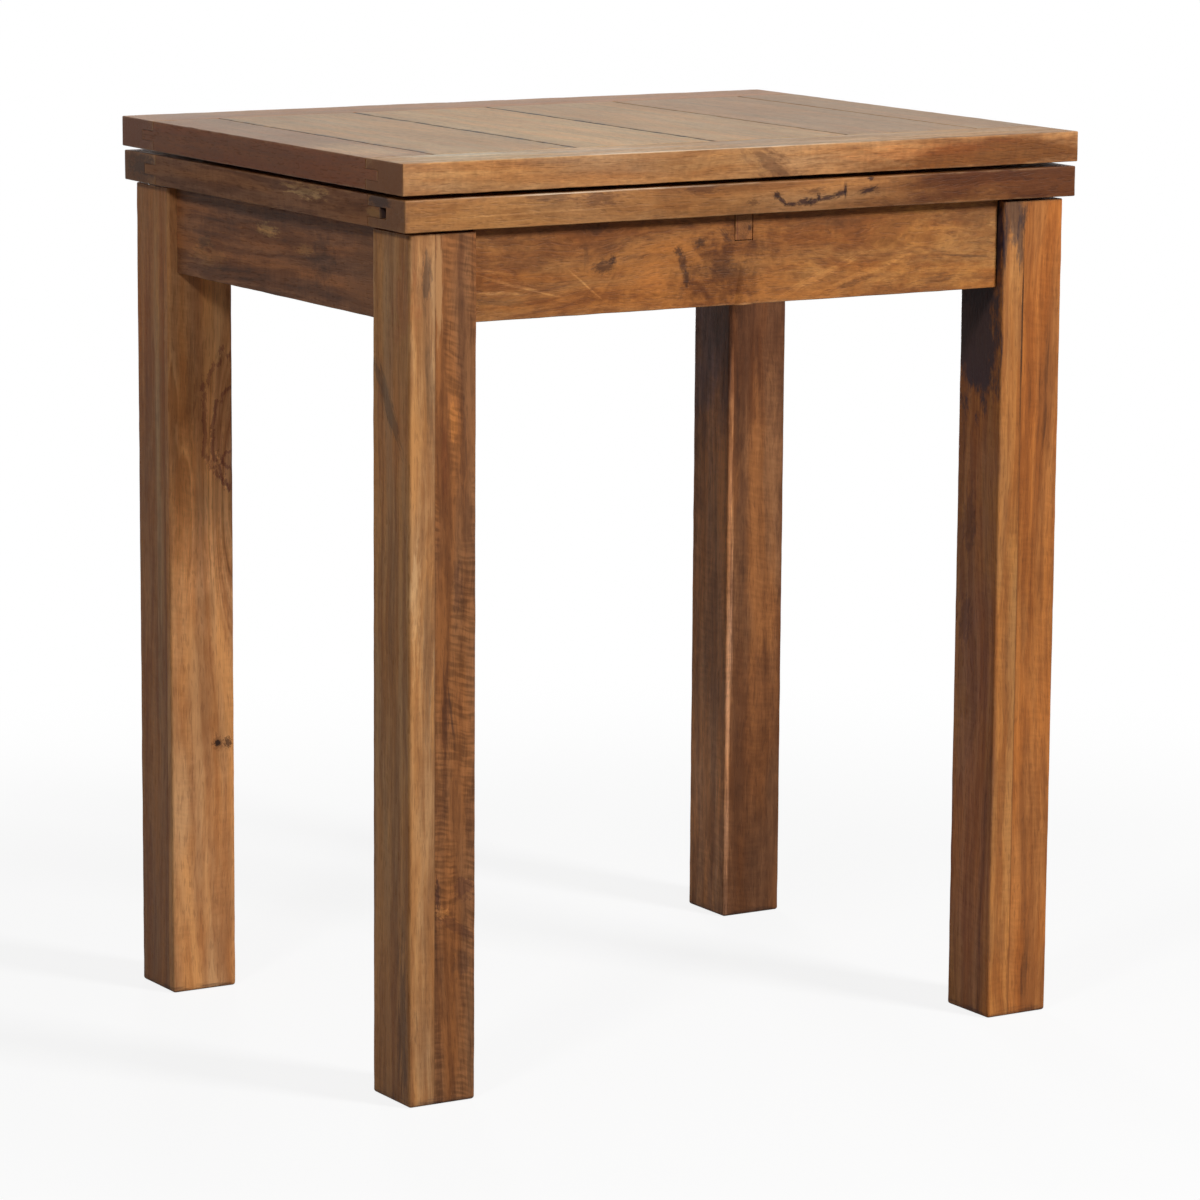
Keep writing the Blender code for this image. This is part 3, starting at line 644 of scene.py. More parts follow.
# The faces that the photo's marks lie on, each with how deep a mark goes in unless it says otherwise
legFront = marksOn("leg_front_left", yAxis, 0.02)
legLeft = marksOn("leg_front_left", xAxis, 0.014)
backLegFront = marksOn("leg_back_left", yAxis, 0.02)
rightLegLeft = marksOn("leg_front_right", xAxis, 0.003)
apronFront = marksOn("apron_front", yAxis, 0.02)
apronLeft = marksOn("apron_left", xAxis, 0.012)
lowerLeft = marksOn("lower_front_rail", xAxis, 0.006)
upperLeft = marksOn("upper_front_rail", xAxis, 0.0016)
leafFront = marksOn("upper_front_rail", yAxis, 0.012)
leafTop = marksOn("upper_front_rail", zAxis, 0.0012, corner=1)


# Legs: square posts, three of them glued up from two staves
legPost = {
    "round": 0.003,
    "steps": 4,
    "topRound": 0.0012,
    "topSteps": 2,
    "wearStep": 0.010,
    # a dark band round each foot: painted contact shade
    "footShadeInk": (70, 45, 32),
    "footShadeReach": (0.06, 0.06, 0.007),
}

nearLegLook = {
    "pale": (194, 141, 91), "mid": (162, 110, 67), "dark": (106, 71, 45),
    "heart": (0, 0.16, 0.22), "taper": 0.02, "figure": 0.8, "blotch": 1.1, "ripple": 0.12, "mineral": 0.05,
    "stave": {"axis": xAxis, "line": -0.2912, "pale": (148, 96, 57), "mid": (114, 71, 42),
              "dark": (75, 46, 29), "shift": (0.7, 0.2, 0.4), "blotch": 1.5, "ripple": 1.0, "mineral": 0.2},
    "marks": (
        # pale stave: a grey streak and a pale band at its head, then an olive streak and sapwood
        legFront(-0.2989, 0.669, 0.0046, 0.022, (104, 74, 52), 0.75),
        legFront(-0.288, 0.6634, 0.0036, 0.055, (196, 145, 96), 0.7, 0.3, flat=True),
        legFront(-0.2955, 0.5775, 0.0042, 0.045, (126, 90, 60), 0.55),
        legFront(-0.3085, 0.41, 0.005, 0.055, (204, 152, 102), 0.5, deep=0.012),
        legFront(-0.298, 0.3718, 0.0066, 0.075, (140, 100, 66), 0.55),
        legFront(-0.2932, 0.324, 0.002, 0.04, (186, 122, 66), 0.55),
        wash(legFront, -0.303, 0.43, 0.012, 0.09, (154, 102, 60)),
        wash(legFront, -0.303, 0.1, 0.012, 0.12, (162, 115, 75)),
        wash(legFront, -0.303, 0.58, 0.012, 0.09, (169, 115, 68)),
        # brown stave: dark streaks, a square stain, and a knot with its flare near the foot
        wash(legFront, -0.272, 0.4, 0.02, 0.09, (108, 67, 39)),
        legFront(-0.2654, 0.5318, 0.0034, 0.042, (80, 50, 34), 0.6),
        legFront(-0.2826, 0.5247, 0.0034, 0.042, (104, 58, 34), 0.55),
        legFront(-0.2743, 0.5536, 0.0046, 0.02, (146, 92, 50), 0.55),
        legFront(-0.2704, 0.4186, 0.0054, 0.026, (82, 49, 32), 0.65),
        legFront(-0.2816, 0.3191, 0.0038, 0.046, (80, 48, 32), 0.7),
        legFront(-0.2761, 0.3178, 0.0012, 0.024, (68, 42, 30), 0.75, 0.3, 7),
        legFront(-0.264, 0.1765, 0.012, 0.0105, (84, 49, 33), 0.7),
        legFront(-0.2711, 0.1444, 0.022, 0.0055, (82, 49, 33), 0.65, 0.45, -32),
        legFront(-0.285, 0.1584, 0.0062, 0.005, (160, 104, 60), 0.7),
        legFront(-0.2884, 0.1748, 0.0026, 0.014, (66, 38, 27), 0.9),
        legFront(-0.2665, 0.1166, 0.008, 0.015, (84, 53, 36), 0.55),
        legFront(-0.2571, 0.0552, 0.005, 0.052, (92, 60, 38), 0.5),
        # left face: a slanting olive streak under a red patch, and a dark arris at the foot
        legLeft(-0.2272, 0.65, 0.016, 0.032, (158, 96, 58), 0.45),
        legLeft(-0.2045, 0.5677, 0.008, 0.046, (92, 70, 50), 0.65, 0.4, 32),
        legLeft(-0.21, 0.54, 0.05, 0.1, (160, 103, 61), 0.9, 0.2, soft=1.0, deep=0.004),
        legLeft(-0.21, 0.05, 0.06, 0.2, (142, 94, 59), 0.9, 0.2, soft=1.1),
        legLeft(-0.23, 0.07, 0.009, 0.075, (88, 60, 42), 0.65),
    ),
}
farLeftLegLook = {
    "pale": (216, 156, 101), "mid": (177, 117, 71), "dark": (105, 66, 42),
    "shift": (0.9, 0.3, 0.1), "heart": (0, -0.10, 0.05), "taper": 0.03, "figure": 2.2, "streak": 0.9,
    "blotch": 0.9, "ripple": 0.15, "fleck": 0.0,
    "stave": {"axis": yAxis, "line": 0.1890, "pale": (183, 127, 82), "mid": (152, 96, 58),
              "shift": (1.2, 0.6, 0.2), "figure": 0.7, "streak": 1.8, "blotch": 1.2},
    "eyes": (((-0.2560, 0.18, 0.4300), (0.017, 0.04, 0.105), 5.0),),
    "marks": (
        # a paler wash under the apron and a darker one lower down the front: painted light and painted
        # shade that raise the edge of the shadow cast there
        wash(backLegFront, -0.2838, 0.43, 0.05, 0.1, (214, 145, 92)),
        wash(backLegFront, -0.2838, 0.26, 0.05, 0.11, (158, 101, 58)),
        # arches of the grain that stand one in the other near the right arris
        *archMarks(backLegFront, -0.254, 0.505, 0.029, 0.056, 0.0038, (132, 78, 52), (218, 155, 90)),
        *archMarks(backLegFront, -0.254, 0.493, 0.019, 0.034, 0.003, (126, 74, 50), (224, 159, 92)),
        *archMarks(backLegFront, -0.254, 0.458, 0.013, 0.017, 0.0024, (126, 74, 50), (224, 159, 92)),
        legLeft(0.201, 0.5, 0.0085, 0.28, (176, 138, 98), 0.45, 0.25, soft=0.9, deep=0.012),
        legLeft(0.21, 0.05, 0.06, 0.22, (134, 84, 52), 0.9, 0.2, soft=1.1, deep=0.012),
        wash(legLeft, 0.22, 0.6, 0.05, 0.12, (164, 98, 54), deep=0.004),
        backLegFront(-0.293, 0.53, 0.0055, 0.045, (100, 64, 42), 0.35),
        backLegFront(-0.2699, 0.2188, 0.006, 0.007, (122, 76, 46), 0.6),
        backLegFront(-0.2699, 0.2188, 0.0036, 0.0036, (46, 28, 21), 0.95, 0.25),
        backLegFront(-0.2601, 0.2186, 0.0042, 0.006, (76, 46, 30), 0.85),
    ),
}
rightLegLook = {
    "pale": (186, 123, 66), "mid": (155, 96, 50), "dark": (79, 46, 28),
    "shift": (1.7, 0.2, 0.4), "heart": (0, 0.30, 0.20), "taper": 0.02, "figure": 0.7, "blotch": 0.9,
    "ripple": 0.2, "fleck": 0.0, "mineral": 0.06,
    "stave": {"axis": xAxis, "line": 0.2746, "pale": (185, 115, 58), "mid": (150, 88, 43),
              "shift": (2.1, 0.5, 0.4)},
    "marks": (
        # the black left face under the table that runs down to a point, partly a stain and partly painted
        # shade, and the grey cap round a flame
        mark((0.2505, -0.195, 0.635), (0.008, 0.055, 0.13), (66, 49, 50), 0.95, 0.3, soft=0.3, flat=True),
        mark((0.2505, -0.205, 0.66), (0.008, 0.05, 0.075), (54, 41, 44), 0.8, 0.3, soft=0.9, flat=True),
        legFront(0.2635, 0.699, 0.0135, 0.036, (100, 66, 45), 0.95, 0.4, deep=0.008),
        legFront(0.2704, 0.67, 0.0042, 0.03, (100, 66, 45), 0.9, 0.4, deep=0.008),
        legFront(0.2548, 0.67, 0.0032, 0.036, (100, 66, 45), 0.9, 0.4, deep=0.008),
        legFront(0.2614, 0.658, 0.0032, 0.034, (170, 108, 58), 0.9, 0.3, deep=0.008),
        legFront(0.2742, 0.59, 0.001, 0.075, (58, 35, 24), 0.85, 0.3, deep=0.01),
        # cooler down the left face, browner half way down the front and paler near the foot
        rightLegLeft(-0.21, 0.15, 0.06, 0.25, (155, 97, 68), 0.9, 0.2, soft=1.1),
        rightLegLeft(-0.21, 0.36, 0.06, 0.13, (142, 89, 58), 0.9, 0.2, soft=1.1),
        rightLegLeft(-0.21, 0.49, 0.06, 0.1, (155, 96, 60), 0.9, 0.2, soft=1.1),
        rightLegLeft(-0.2, 0.429, 0.01, 0.032, (118, 72, 42), 0.8),
        rightLegLeft(-0.196, 0.341, 0.01, 0.024, (118, 72, 42), 0.8),
        wash(legFront, 0.284, 0.38, 0.05, 0.14, (140, 84, 42), 0.85, 1.1),
        wash(legFront, 0.284, 0.07, 0.05, 0.16, (162, 96, 48), soft=1.1),
    ),
}
farRightLegLook = {
    "pale": (139, 90, 56), "mid": (108, 67, 41), "dark": (63, 38, 25),
    "shift": (2.6, 0.1, 0.7), "heart": (0, 0.20, 0.12), "taper": 0.02, "figure": 0.8,
    "streak": 1.6, "mineral": 0.2,
    "marks": (
        # the left face made paler over most of its height, painted light where the table top shades it,
        # with a darker wash near its head
        rightLegLeft(0.21, 0.25, 0.06, 0.36, (198, 138, 98), 0.9, 0.25, deep=0.008),
        backLegFront(0.285, 0.36, 0.03, 0.15, (134, 86, 52), 0.75, deep=0.012),
        wash(rightLegLeft, 0.21, 0.55, 0.06, 0.13, (75, 53, 47), deep=0.004),
        wash(backLegFront, 0.284, 0.54, 0.05, 0.12, (89, 51, 29)),
        wash(backLegFront, 0.284, 0.07, 0.05, 0.12, (98, 60, 36)),
    ),
}


def makeLeg(name, node, look):
    low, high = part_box(node)
    piece = startBlock(name, low, high)
    cutEvenly(zAxis, low.z, high.z, legPost["wearStep"])
    roundArrises(piece, legPost["round"], legPost["steps"], lambda at: at.z < high.z - touch)
    roundArrises(piece, legPost["topRound"], legPost["topSteps"], lambda at: at.z > high.z - touch)
    middle = (low + high) / 2
    # painted contact shade in a dark band round the foot
    foot = mark((middle.x, middle.y, 0), legPost["footShadeReach"], legPost["footShadeInk"], 0.7, 0.3)
    wood = {**look, "marks": (*look.get("marks", ()), foot)}
    finishPiece(piece, node, makeWood(name + "Wood", low, high, along="z", **wood))


makeLeg("nearLeg", "leg_front_left", nearLegLook)
makeLeg("farLeftLeg", "leg_back_left", farLeftLegLook)
makeLeg("rightLeg", "leg_front_right", rightLegLook)
makeLeg("farRightLeg", "leg_back_right", farRightLegLook)
print("legs made")


# Aprons: boards between the legs, the front and back ones notched for the slide rail
apronBoard = {"round": 0.0012, "steps": 3, "wearStep": 0.012, "legGap": 0.0003, "notchFit": 0.0006,
              "notchClear": 0.001}

frontApronLook = {
    "pale": (163, 105, 55), "mid": (128, 77, 40), "dark": (74, 43, 25),
    "heart": (0, -0.05, 0.02), "taper": 0.06, "wander": 0.06, "figure": 1.4, "streak": 1.2, "blotch": 2.4,
    "ripple": 0.15, "fleck": 0.7,
    "eyes": (((-0.0891, -0.2335, 0.6562), (0.040, 0.05, 0.034), 7.0),),
    "marks": (
        # broad light and shade, then the eye with its crescents and the smudges round it
        apronFront(0.18, 0.672, 0.115, 0.05, (150, 100, 56), 0.5, 0.6, soft=0.9),
        apronFront(-0.0891, 0.6562, 0.023, 0.022, (150, 89, 46), 0.35, 0.3, soft=1.1),
        apronFront(-0.02, 0.66, 0.048, 0.05, (86, 48, 25), 1.0, soft=1.1),
        apronFront(-0.132, 0.669, 0.015, 0.0072, (66, 38, 25), 0.85, 0.45, 16, 0.9),
        apronFront(-0.124, 0.673, 0.004, 0.006, (60, 35, 24), 0.85, 0.3, soft=0.9),
        apronFront(-0.105, 0.6745, 0.02, 0.003, (96, 57, 34), 0.55, 0.4, 6, 0.9),
        apronFront(-0.1493, 0.678, 0.003, 0.013, (96, 58, 34), 0.55, 0.4, soft=0.9),
        apronFront(-0.0625, 0.6775, 0.005, 0.0042, (64, 37, 25), 0.85, 0.4, soft=0.8),
        apronFront(-0.0585, 0.668, 0.0044, 0.011, (64, 37, 25), 0.85, 0.3, 12, 0.8),
        apronFront(-0.0545, 0.655, 0.004, 0.009, (60, 35, 24), 0.85, 0.3, 8, 0.8),
        apronFront(-0.059, 0.644, 0.004, 0.008, (84, 50, 31), 0.6, 0.4, -25, 0.9),
        apronFront(-0.0419, 0.6828, 0.007, 0.0056, (70, 42, 28), 0.75, 0.45, soft=0.9),
        apronFront(-0.0211, 0.659, 0.016, 0.011, (86, 50, 29), 0.6, soft=1.0),
        apronFront(-0.0178, 0.688, 0.01, 0.0036, (78, 46, 30), 0.75, 0.4, -45, 0.9),
        apronFront(-0.15, 0.655, 0.023, 0.0009, (176, 116, 66), 0.5, 0.4, -39),
        # streaks to the left and right of it
        apronFront(-0.213, 0.657, 0.04, 0.0016, (180, 120, 70), 0.55, 0.5, -15),
        apronFront(-0.23, 0.645, 0.03, 0.003, (96, 60, 36), 0.55, 0.5, -6),
        apronFront(-0.228, 0.652, 0.026, 0.0014, (180, 120, 70), 0.5, 0.5, -4),
        apronFront(-0.233, 0.669, 0.018, 0.0018, (176, 116, 66), 0.45, 0.6, -8),
        apronFront(0.077, 0.651, 0.046, 0.003, (158, 100, 54), 0.5, 0.6, 21),
        apronFront(0.118, 0.65, 0.05, 0.0026, (158, 100, 54), 0.45, 0.6, 16),
        apronFront(0.1045, 0.6415, 0.017, 0.0034, (84, 50, 30), 0.6, 0.5, 14, 0.9),
        apronFront(0.1906, 0.6418, 0.026, 0.0048, (92, 56, 34), 0.6, 0.6, 4, 0.9),
        apronFront(0.22, 0.659, 0.032, 0.0013, (84, 50, 31), 0.7, 0.4, -5),
    ),
}
leftApronLook = {
    "pale": (171, 113, 74), "mid": (126, 80, 51), "dark": (73, 45, 31),
    "shift": (0.8, 0.9, 0.3), "blotch": 1.8, "mineral": 0.25,
    "marks": (
        apronLeft(0.0131, 0.6838, 0.02, 0.006, (196, 150, 98), 0.55),
        apronLeft(0.1204, 0.65, 0.032, 0.01, (168, 116, 72), 0.4, 0.6),
        apronLeft(-0.0533, 0.673, 0.018, 0.005, (180, 130, 84), 0.45, 0.6),
        apronLeft(0.126, 0.662, 0.016, 0.0055, (84, 60, 42), 0.6),
        apronLeft(-0.0825, 0.669, 0.026, 0.024, (72, 47, 34), 0.65, 0.4, soft=0.9),
        apronLeft(-0.156, 0.665, 0.05, 0.06, (128, 86, 57), 0.6, 0.3, soft=1.0, flat=True),
    ),
}


def makeApron(name, node, length, look):
    low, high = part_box(node)
    legLow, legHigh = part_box("leg_front_left")[1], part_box("leg_back_right")[0]
    low[length] = legLow[length] + apronBoard["legGap"]
    high[length] = legHigh[length] - apronBoard["legGap"]
    railLow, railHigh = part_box("slide_rail")
    floor, top = railLow.z - apronBoard["notchFit"], high.z
    half = railHigh.x + apronBoard["notchFit"]
    notched = length == xAxis
    piece = startBlock(name, low, Vector((high.x, high.y, floor)) if notched else high)
    if notched:
        cutAcross(xAxis, (-half, half))
        pickFaces(piece, lambda at, normal: normal.z > facing and abs(at.x) > half)
        pushFaces((0, 0, top - floor))
    cutEvenly(length, low[length], high[length], apronBoard["wearStep"])
    clear = half + apronBoard["notchClear"]
    roundArrises(piece, apronBoard["round"], apronBoard["steps"], lambda at: abs(at.x) > clear)
    wood = makeWood(name + "Wood", low, high, along="xyz"[length], **look)
    finishPiece(piece, node, wood)


makeApron("frontApron", "apron_front", xAxis, frontApronLook)
makeApron("backApron", "apron_back", xAxis, {"shift": (0.4, 0.6, 0.2), "figure": 1.2})
makeApron("leftApron", "apron_left", yAxis, leftApronLook)
makeApron("rightApron", "apron_right", yAxis, {"shift": (1.3, 0.5, 0.5), "blotch": 1.6})
print("aprons made")


# Slide rail: its front end shows in the front apron's notch
slideBar = {"round": 0.0005, "steps": 2, "wearStep": 0.03}
slideBarLook = {
    "pale": (150, 95, 52), "mid": (122, 75, 41), "shift": (0.2, 0.7, 0.9), "wearAndSeamShare": 0.0,
    "marks": (apronFront(0.0055, 0.693, 0.0018, 0.0034, (70, 44, 30), 0.8, 0.3, deep=0.01),
              apronFront(-0.0062, 0.694, 0.0008, 0.014, (104, 54, 36), 0.7, 0.2, deep=0.01)),
}


def makeSlideRail():
    low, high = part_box("slide_rail")
    piece = startBlock("slideBar", low, high)
    cutEvenly(yAxis, low.y, high.y, slideBar["wearStep"])
    roundArrises(piece, slideBar["round"], slideBar["steps"], lambda at: True)
    wood = makeWood("slideBarWood", low, high, along="y", **slideBarLook)
    finishPiece(piece, "slide_rail", wood, sanded=False)


makeSlideRail()


# Leaves: boards tongued into a grooved rail at the front and the back
leafWork = {
    "seam": 0.0016,
    "shoulderFit": 0.0004,
    "tongueThick": 0.0085,
    "tongueFit": 0.0003,
    "edgeTongue": 0.006,
    "edgeGroove": 0.007,
    "endGroove": 0.0205,
    "frontRecess": 0.030,
    "hingeDeep": 0.0023,
    "hingeFit": 0.0003,
    "outerRound": 0.0013,
    "seamRound": 0.0005,
    "steps": 3,
    "seamSteps": 2,
    "edgeClear": 0.004,          # seams stop short of the outer arrises by this
    "cutPast": 0.01,
    "wearStep": 0.010,
}
# colour of the painted highlights along the front arrises of the leaves
paintedHighlightInk = (236, 212, 182)


def mineralSpot(x, z, wide, tall, lean=0, share=0.95, ragged=0.3, soft=0.8):
    return leafFront(x, z, wide, tall, (52, 28, 20), share, ragged, lean, soft, deep=0.01)


upperFrontRailLook = {
    "pale": (192, 140, 90), "mid": (163, 110, 65), "dark": (100, 63, 39),
    "shift": (0.3, 0.2, 0.6), "heart": (0, 0.08, 0.10), "figure": 0.6, "streak": 1.0,
    "ripple": 0.2, "fleck": 0.7, "mineral": 0.08, "polish": 0.22, "dull": 0.1, "haze": 0.08,
    "marks": (
        leafFront(0.23, 0.745, 0.19, 0.03, (101, 51, 12), 0.95, 0.3, soft=0.9),
        leafFront(0.17, 0.749, 0.085, 0.006, (186, 112, 58), 0.35, 0.6, deep=0.014),
        wash(leafFront, -0.04, 0.747, 0.09, 0.03, (150, 97, 50), deep=0.012),
        wash(leafFront, -0.245, 0.747, 0.09, 0.03, (169, 114, 64), deep=0.012),
        leafFront(0.017, 0.746, 0.032, 0.013, (98, 58, 33), 0.7, 0.5, -28, 0.9),
        upperLeft(-0.22, 0.747, 0.06, 0.03, (122, 78, 50), 0.9, 0.2, flat=True),
        # the rail's upper face paler and greyer towards its left end, with a darker patch near the middle:
        # partly its own tone, partly painted sheen
        leafTop(0, -0.2175, 0.5, 0.1, (180, 140, 100), 0.8, 0.1),
        leafTop(-0.24, -0.2175, 0.1, 0.1, (184, 140, 96), 0.9, 0.2, soft=1.0),
        leafTop(-0.12, -0.2175, 0.07, 0.1, (174, 126, 86), 0.8, 0.2, soft=1.0),
        leafTop(0.02, -0.2175, 0.07, 0.1, (144, 96, 58), 0.9, 0.2, soft=1.0),
        # a painted highlight along the upper front arris
        leafFront(-0.044, 0.76, 0.15, 0.0011, paintedHighlightInk, 0.75, 0.35, flat=True, deep=0.0035),
        leafFront(-0.2, 0.756, 0.05, 0.003, (128, 82, 50), 0.45, deep=0.01),
        leafFront(-0.06, 0.74, 0.06, 0.0035, (140, 92, 56), 0.4, deep=0.01),
    ),
}
lowerFrontRailLook = {
    "pale": (169, 117, 70), "mid": (138, 90, 51), "dark": (80, 48, 28),
    "shift": (0.9, 0.4, 0.2), "heart": (0, 0.06, 0.08), "figure": 0.9, "streak": 2.0,
    "ripple": 0.15, "fleck": 0.6, "mineral": 0.10,
    "marks": (
        leafFront(0.295, 0.718, 0.23, 0.06, (75, 38, 19), 0.95, 0.25, soft=0.9, deep=0.016),
        wash(leafFront, -0.055, 0.718, 0.09, 0.03, (127, 77, 37), deep=0.012),
        wash(leafFront, -0.235, 0.718, 0.09, 0.03, (137, 93, 55), deep=0.012),
        leafFront(-0.1905, 0.7285, 0.03, 0.005, (92, 55, 33), 0.7, soft=0.8),
        leafFront(-0.1441, 0.7251, 0.022, 0.0075, (92, 55, 33), 0.7, soft=0.8),
        leafFront(-0.049, 0.728, 0.024, 0.005, (92, 55, 33), 0.7, soft=0.8),
        leafFront(-0.19, 0.7165, 0.09, 0.0009, (176, 120, 72), 0.5, 0.5, 0.6),
        # wavy mineral line with its specks, then a painted highlight along the arris
        mineralSpot(0.0222, 0.7196, 0.0042, 0.0038),
        mineralSpot(0.0275, 0.715, 0.0074, 0.0024, -40),
        mineralSpot(0.0365, 0.7118, 0.008, 0.0023),
        mineralSpot(0.049, 0.7132, 0.0085, 0.0038),
        mineralSpot(0.0575, 0.713, 0.008, 0.0036, 14),
        mineralSpot(0.0632, 0.7165, 0.0025, 0.0042),
        mineralSpot(0.071, 0.7152, 0.011, 0.0025, 8),
        mineralSpot(0.084, 0.718, 0.0085, 0.0034, 14),
        mineralSpot(0.0892, 0.7205, 0.0021, 0.0085),
        mineralSpot(0.1115, 0.7198, 0.0125, 0.003, 12, ragged=0.35),
        mineralSpot(0.1144, 0.7292, 0.0036, 0.0028, share=0.9),
        mineralSpot(0.06, 0.7215, 0.011, 0.0028, 8, 0.4, 0.5, 0.6),
        mineralSpot(-0.0006, 0.7147, 0.007, 0.003, 0, 0.45, 0.5, 0.6),
        leafFront(-0.145, 0.731, 0.185, 0.0011, paintedHighlightInk, 0.75, 0.35, flat=True, deep=0.0035),
        # dark lip over the recess at the left end
        lowerLeft(-0.22, 0.718, 0.045, 0.024, (120, 80, 54), 0.75, 0.2, flat=True),
        lowerLeft(-0.205, 0.7275, 0.022, 0.007, (68, 46, 36), 0.9, 0.3, flat=True),
        mark((-0.3, -0.2125, 0.718), (0.021, 0.007, 0.006), (96, 72, 58), 0.95, 0.1, flat=True),
    ),
}
lowerBackRailLook = {
    "shift": (0.6, 0.1, 0.3),
    "marks": (lowerLeft(0.22, 0.718, 0.05, 0.026, (108, 72, 50), 0.85, 0.2, flat=True),
              lowerLeft(0.212, 0.72, 0.024, 0.011, (76, 56, 44), 0.7, flat=True)),
}
lowerLeftStileLook = {
    "pale": (156, 109, 78), "mid": (118, 78, 55), "dark": (65, 42, 31), "shift": (0.1, 0.4, 0.1),
    "marks": (
        mark((-0.3205, -0.0835, 0.724), (0.012, 0.036, 0.006), (192, 146, 98), 0.5, 0.6),
        lowerLeft(-0.197, 0.7178, 0.013, 0.005, (166, 122, 78), 0.75, 0.2, flat=True),
        mark((-0.3, -0.2075, 0.718), (0.06, 0.0014, 0.01), (84, 66, 64), 0.95, 0.1, flat=True),
    ),
}
topFace = {"pale": (176, 122, 74), "mid": (154, 104, 62), "heart": (0, 0.03, -0.06), "figure": 0.5,
           "streak": 1.1, "blotch": 1.1, "ripple": 0.1, "fleck": 0.5, "mineral": 0.03, "polish": 0.36,
           "dull": 0.1, "haze": 0.45}
lowerFace = {"polish": 0.06}
# dark along the seams of the upper planks: partly dirt, partly painted shade in the grooves
seamDirtAndShade = {"wearAndSeamInk": (30, 21, 17), "wearAndSeamShare": 0.95}


def topMark(ink):
    # the upper face alone is paler and greyer: partly bleached by years of light and wiping, partly painted
    # sheen
    return leafTop(0, 0, 1, 1, ink, 1.0, 0.0)


# the bleached colour of each upper plank, partly painted sheen, then how far the dirt and painted shade of
# its seams reach
upperPlanks = (((177, 133, 81), 0.0060), ((195, 149, 93), 0.0050), ((182, 136, 81), 0.0042),
               ((163, 119, 71), 0.0010))
upperBoards = {
    "left_stile": {
        "shift": (0.1, 0.4, 0.1),
        "marks": (upperLeft(0, 0.747, 0.4, 0.05, (112, 58, 19), 1.0, 0.1),
                  topMark((147, 102, 58)),
                  leafTop(-0.3, -0.12, 0.05, 0.08, (204, 153, 106), 0.9, 0.2, soft=1.0)),
    },
    **{"plank_" + str(k): {"shift": (0.3 * k, 0.2 * k, 0.1), "marks": (topMark(ink),), **seamDirtAndShade,
                           "wearAndSeamReach": reach}
       for k, (ink, reach) in enumerate(upperPlanks, 1)},
    "right_stile": {"shift": (1.5, 1.0, 0.1), "marks": (topMark((163, 121, 75)),)},
}
upperBackRailLook = {
    **topFace, "shift": (1.1, 0.1, 0.3),
    "marks": (upperLeft(0.22, 0.747, 0.06, 0.03, (104, 53, 23), 0.9, 0.2, flat=True),
              topMark((172, 114, 60)),
              leafTop(-0.28, 0.2175, 0.06, 0.1, (122, 80, 49), 0.9, 0.2, soft=1.0)),
}
lowerBoards = {
    "left_stile": lowerLeftStileLook,
    **{"plank_" + str(k): {"shift": (1 + 0.3 * k, 0.2 * k, 0.1), "figure": 0.7, "streak": 1.7}
       for k in (1, 2, 3, 4)},
    "right_stile": {"shift": (2.5, 1.0, 0.1)},
}


def hingeMortises(leaf, low, high):
    # pockets for the hinge plates in the inner face of a back rail, open at the back
    spans = []
    fit, past, deep = leafWork["hingeFit"], leafWork["cutPast"], leafWork["hingeDeep"]
    for side in ("left", "right"):
        plateLow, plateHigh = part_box(leaf + "_hinge_plate_" + side)
        start = Vector((plateLow.x - fit, plateLow.y - fit, 0))
        stop = Vector((plateHigh.x + fit, high.y + past, 0))
        if leaf == "lower":
            start.z, stop.z = high.z - deep, high.z + past
        else:
            start.z, stop.z = low.z - past, low.z + deep
        spans.append((start, stop))
    return spans


def makeLeafRail(name, node, end, look):
    leaf = node.split("_")[0]
    low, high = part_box(node)
    middle = (low.z + high.z) / 2
    slot = leafWork["tongueThick"] / 2 + leafWork["tongueFit"]
    deep = leafWork["frontRecess" if node == "lower_front_rail" else "endGroove"]
    webLow, webHigh = low.copy(), high.copy()
    if end < 0:
        webHigh.y = high.y - deep
    else:
        webLow.y = low.y + deep
    piece = startBlock(name, webLow, webHigh)
    cutAcross(zAxis, (middle - slot, middle + slot))
    pickFaces(piece, lambda at, normal: normal.y * end < -facing and abs(at.z - middle) > slot)
    pushFaces((0, -end * deep, 0))
    cutEvenly(xAxis, low.x, high.x, leafWork["wearStep"])
    outer, inner = (low.y, high.y) if end < 0 else (high.y, low.y)

    def onOutside(at):
        onFace = abs(at.z - middle) > (high.z - low.z) / 2 - touch
        atEnd = abs(at.x) > high.x - touch
        return (onFace and abs(at.y - inner) > touch) or (atEnd and abs(at.y - outer) < touch)

    def onSeam(at):
        onFace = abs(at.z - middle) > (high.z - low.z) / 2 - touch
        return onFace and abs(at.y - inner) < touch and abs(at.x) < high.x - leafWork["edgeClear"]

    roundArrises(piece, leafWork["outerRound"], leafWork["steps"], onOutside)
    roundArrises(piece, leafWork["seamRound"], leafWork["seamSteps"], onSeam)
    pockets = hingeMortises(leaf, low, high) if end > 0 else ()
    finishPiece(piece, node, makeWood(name + "Wood", low, high, **look), pockets=pockets)


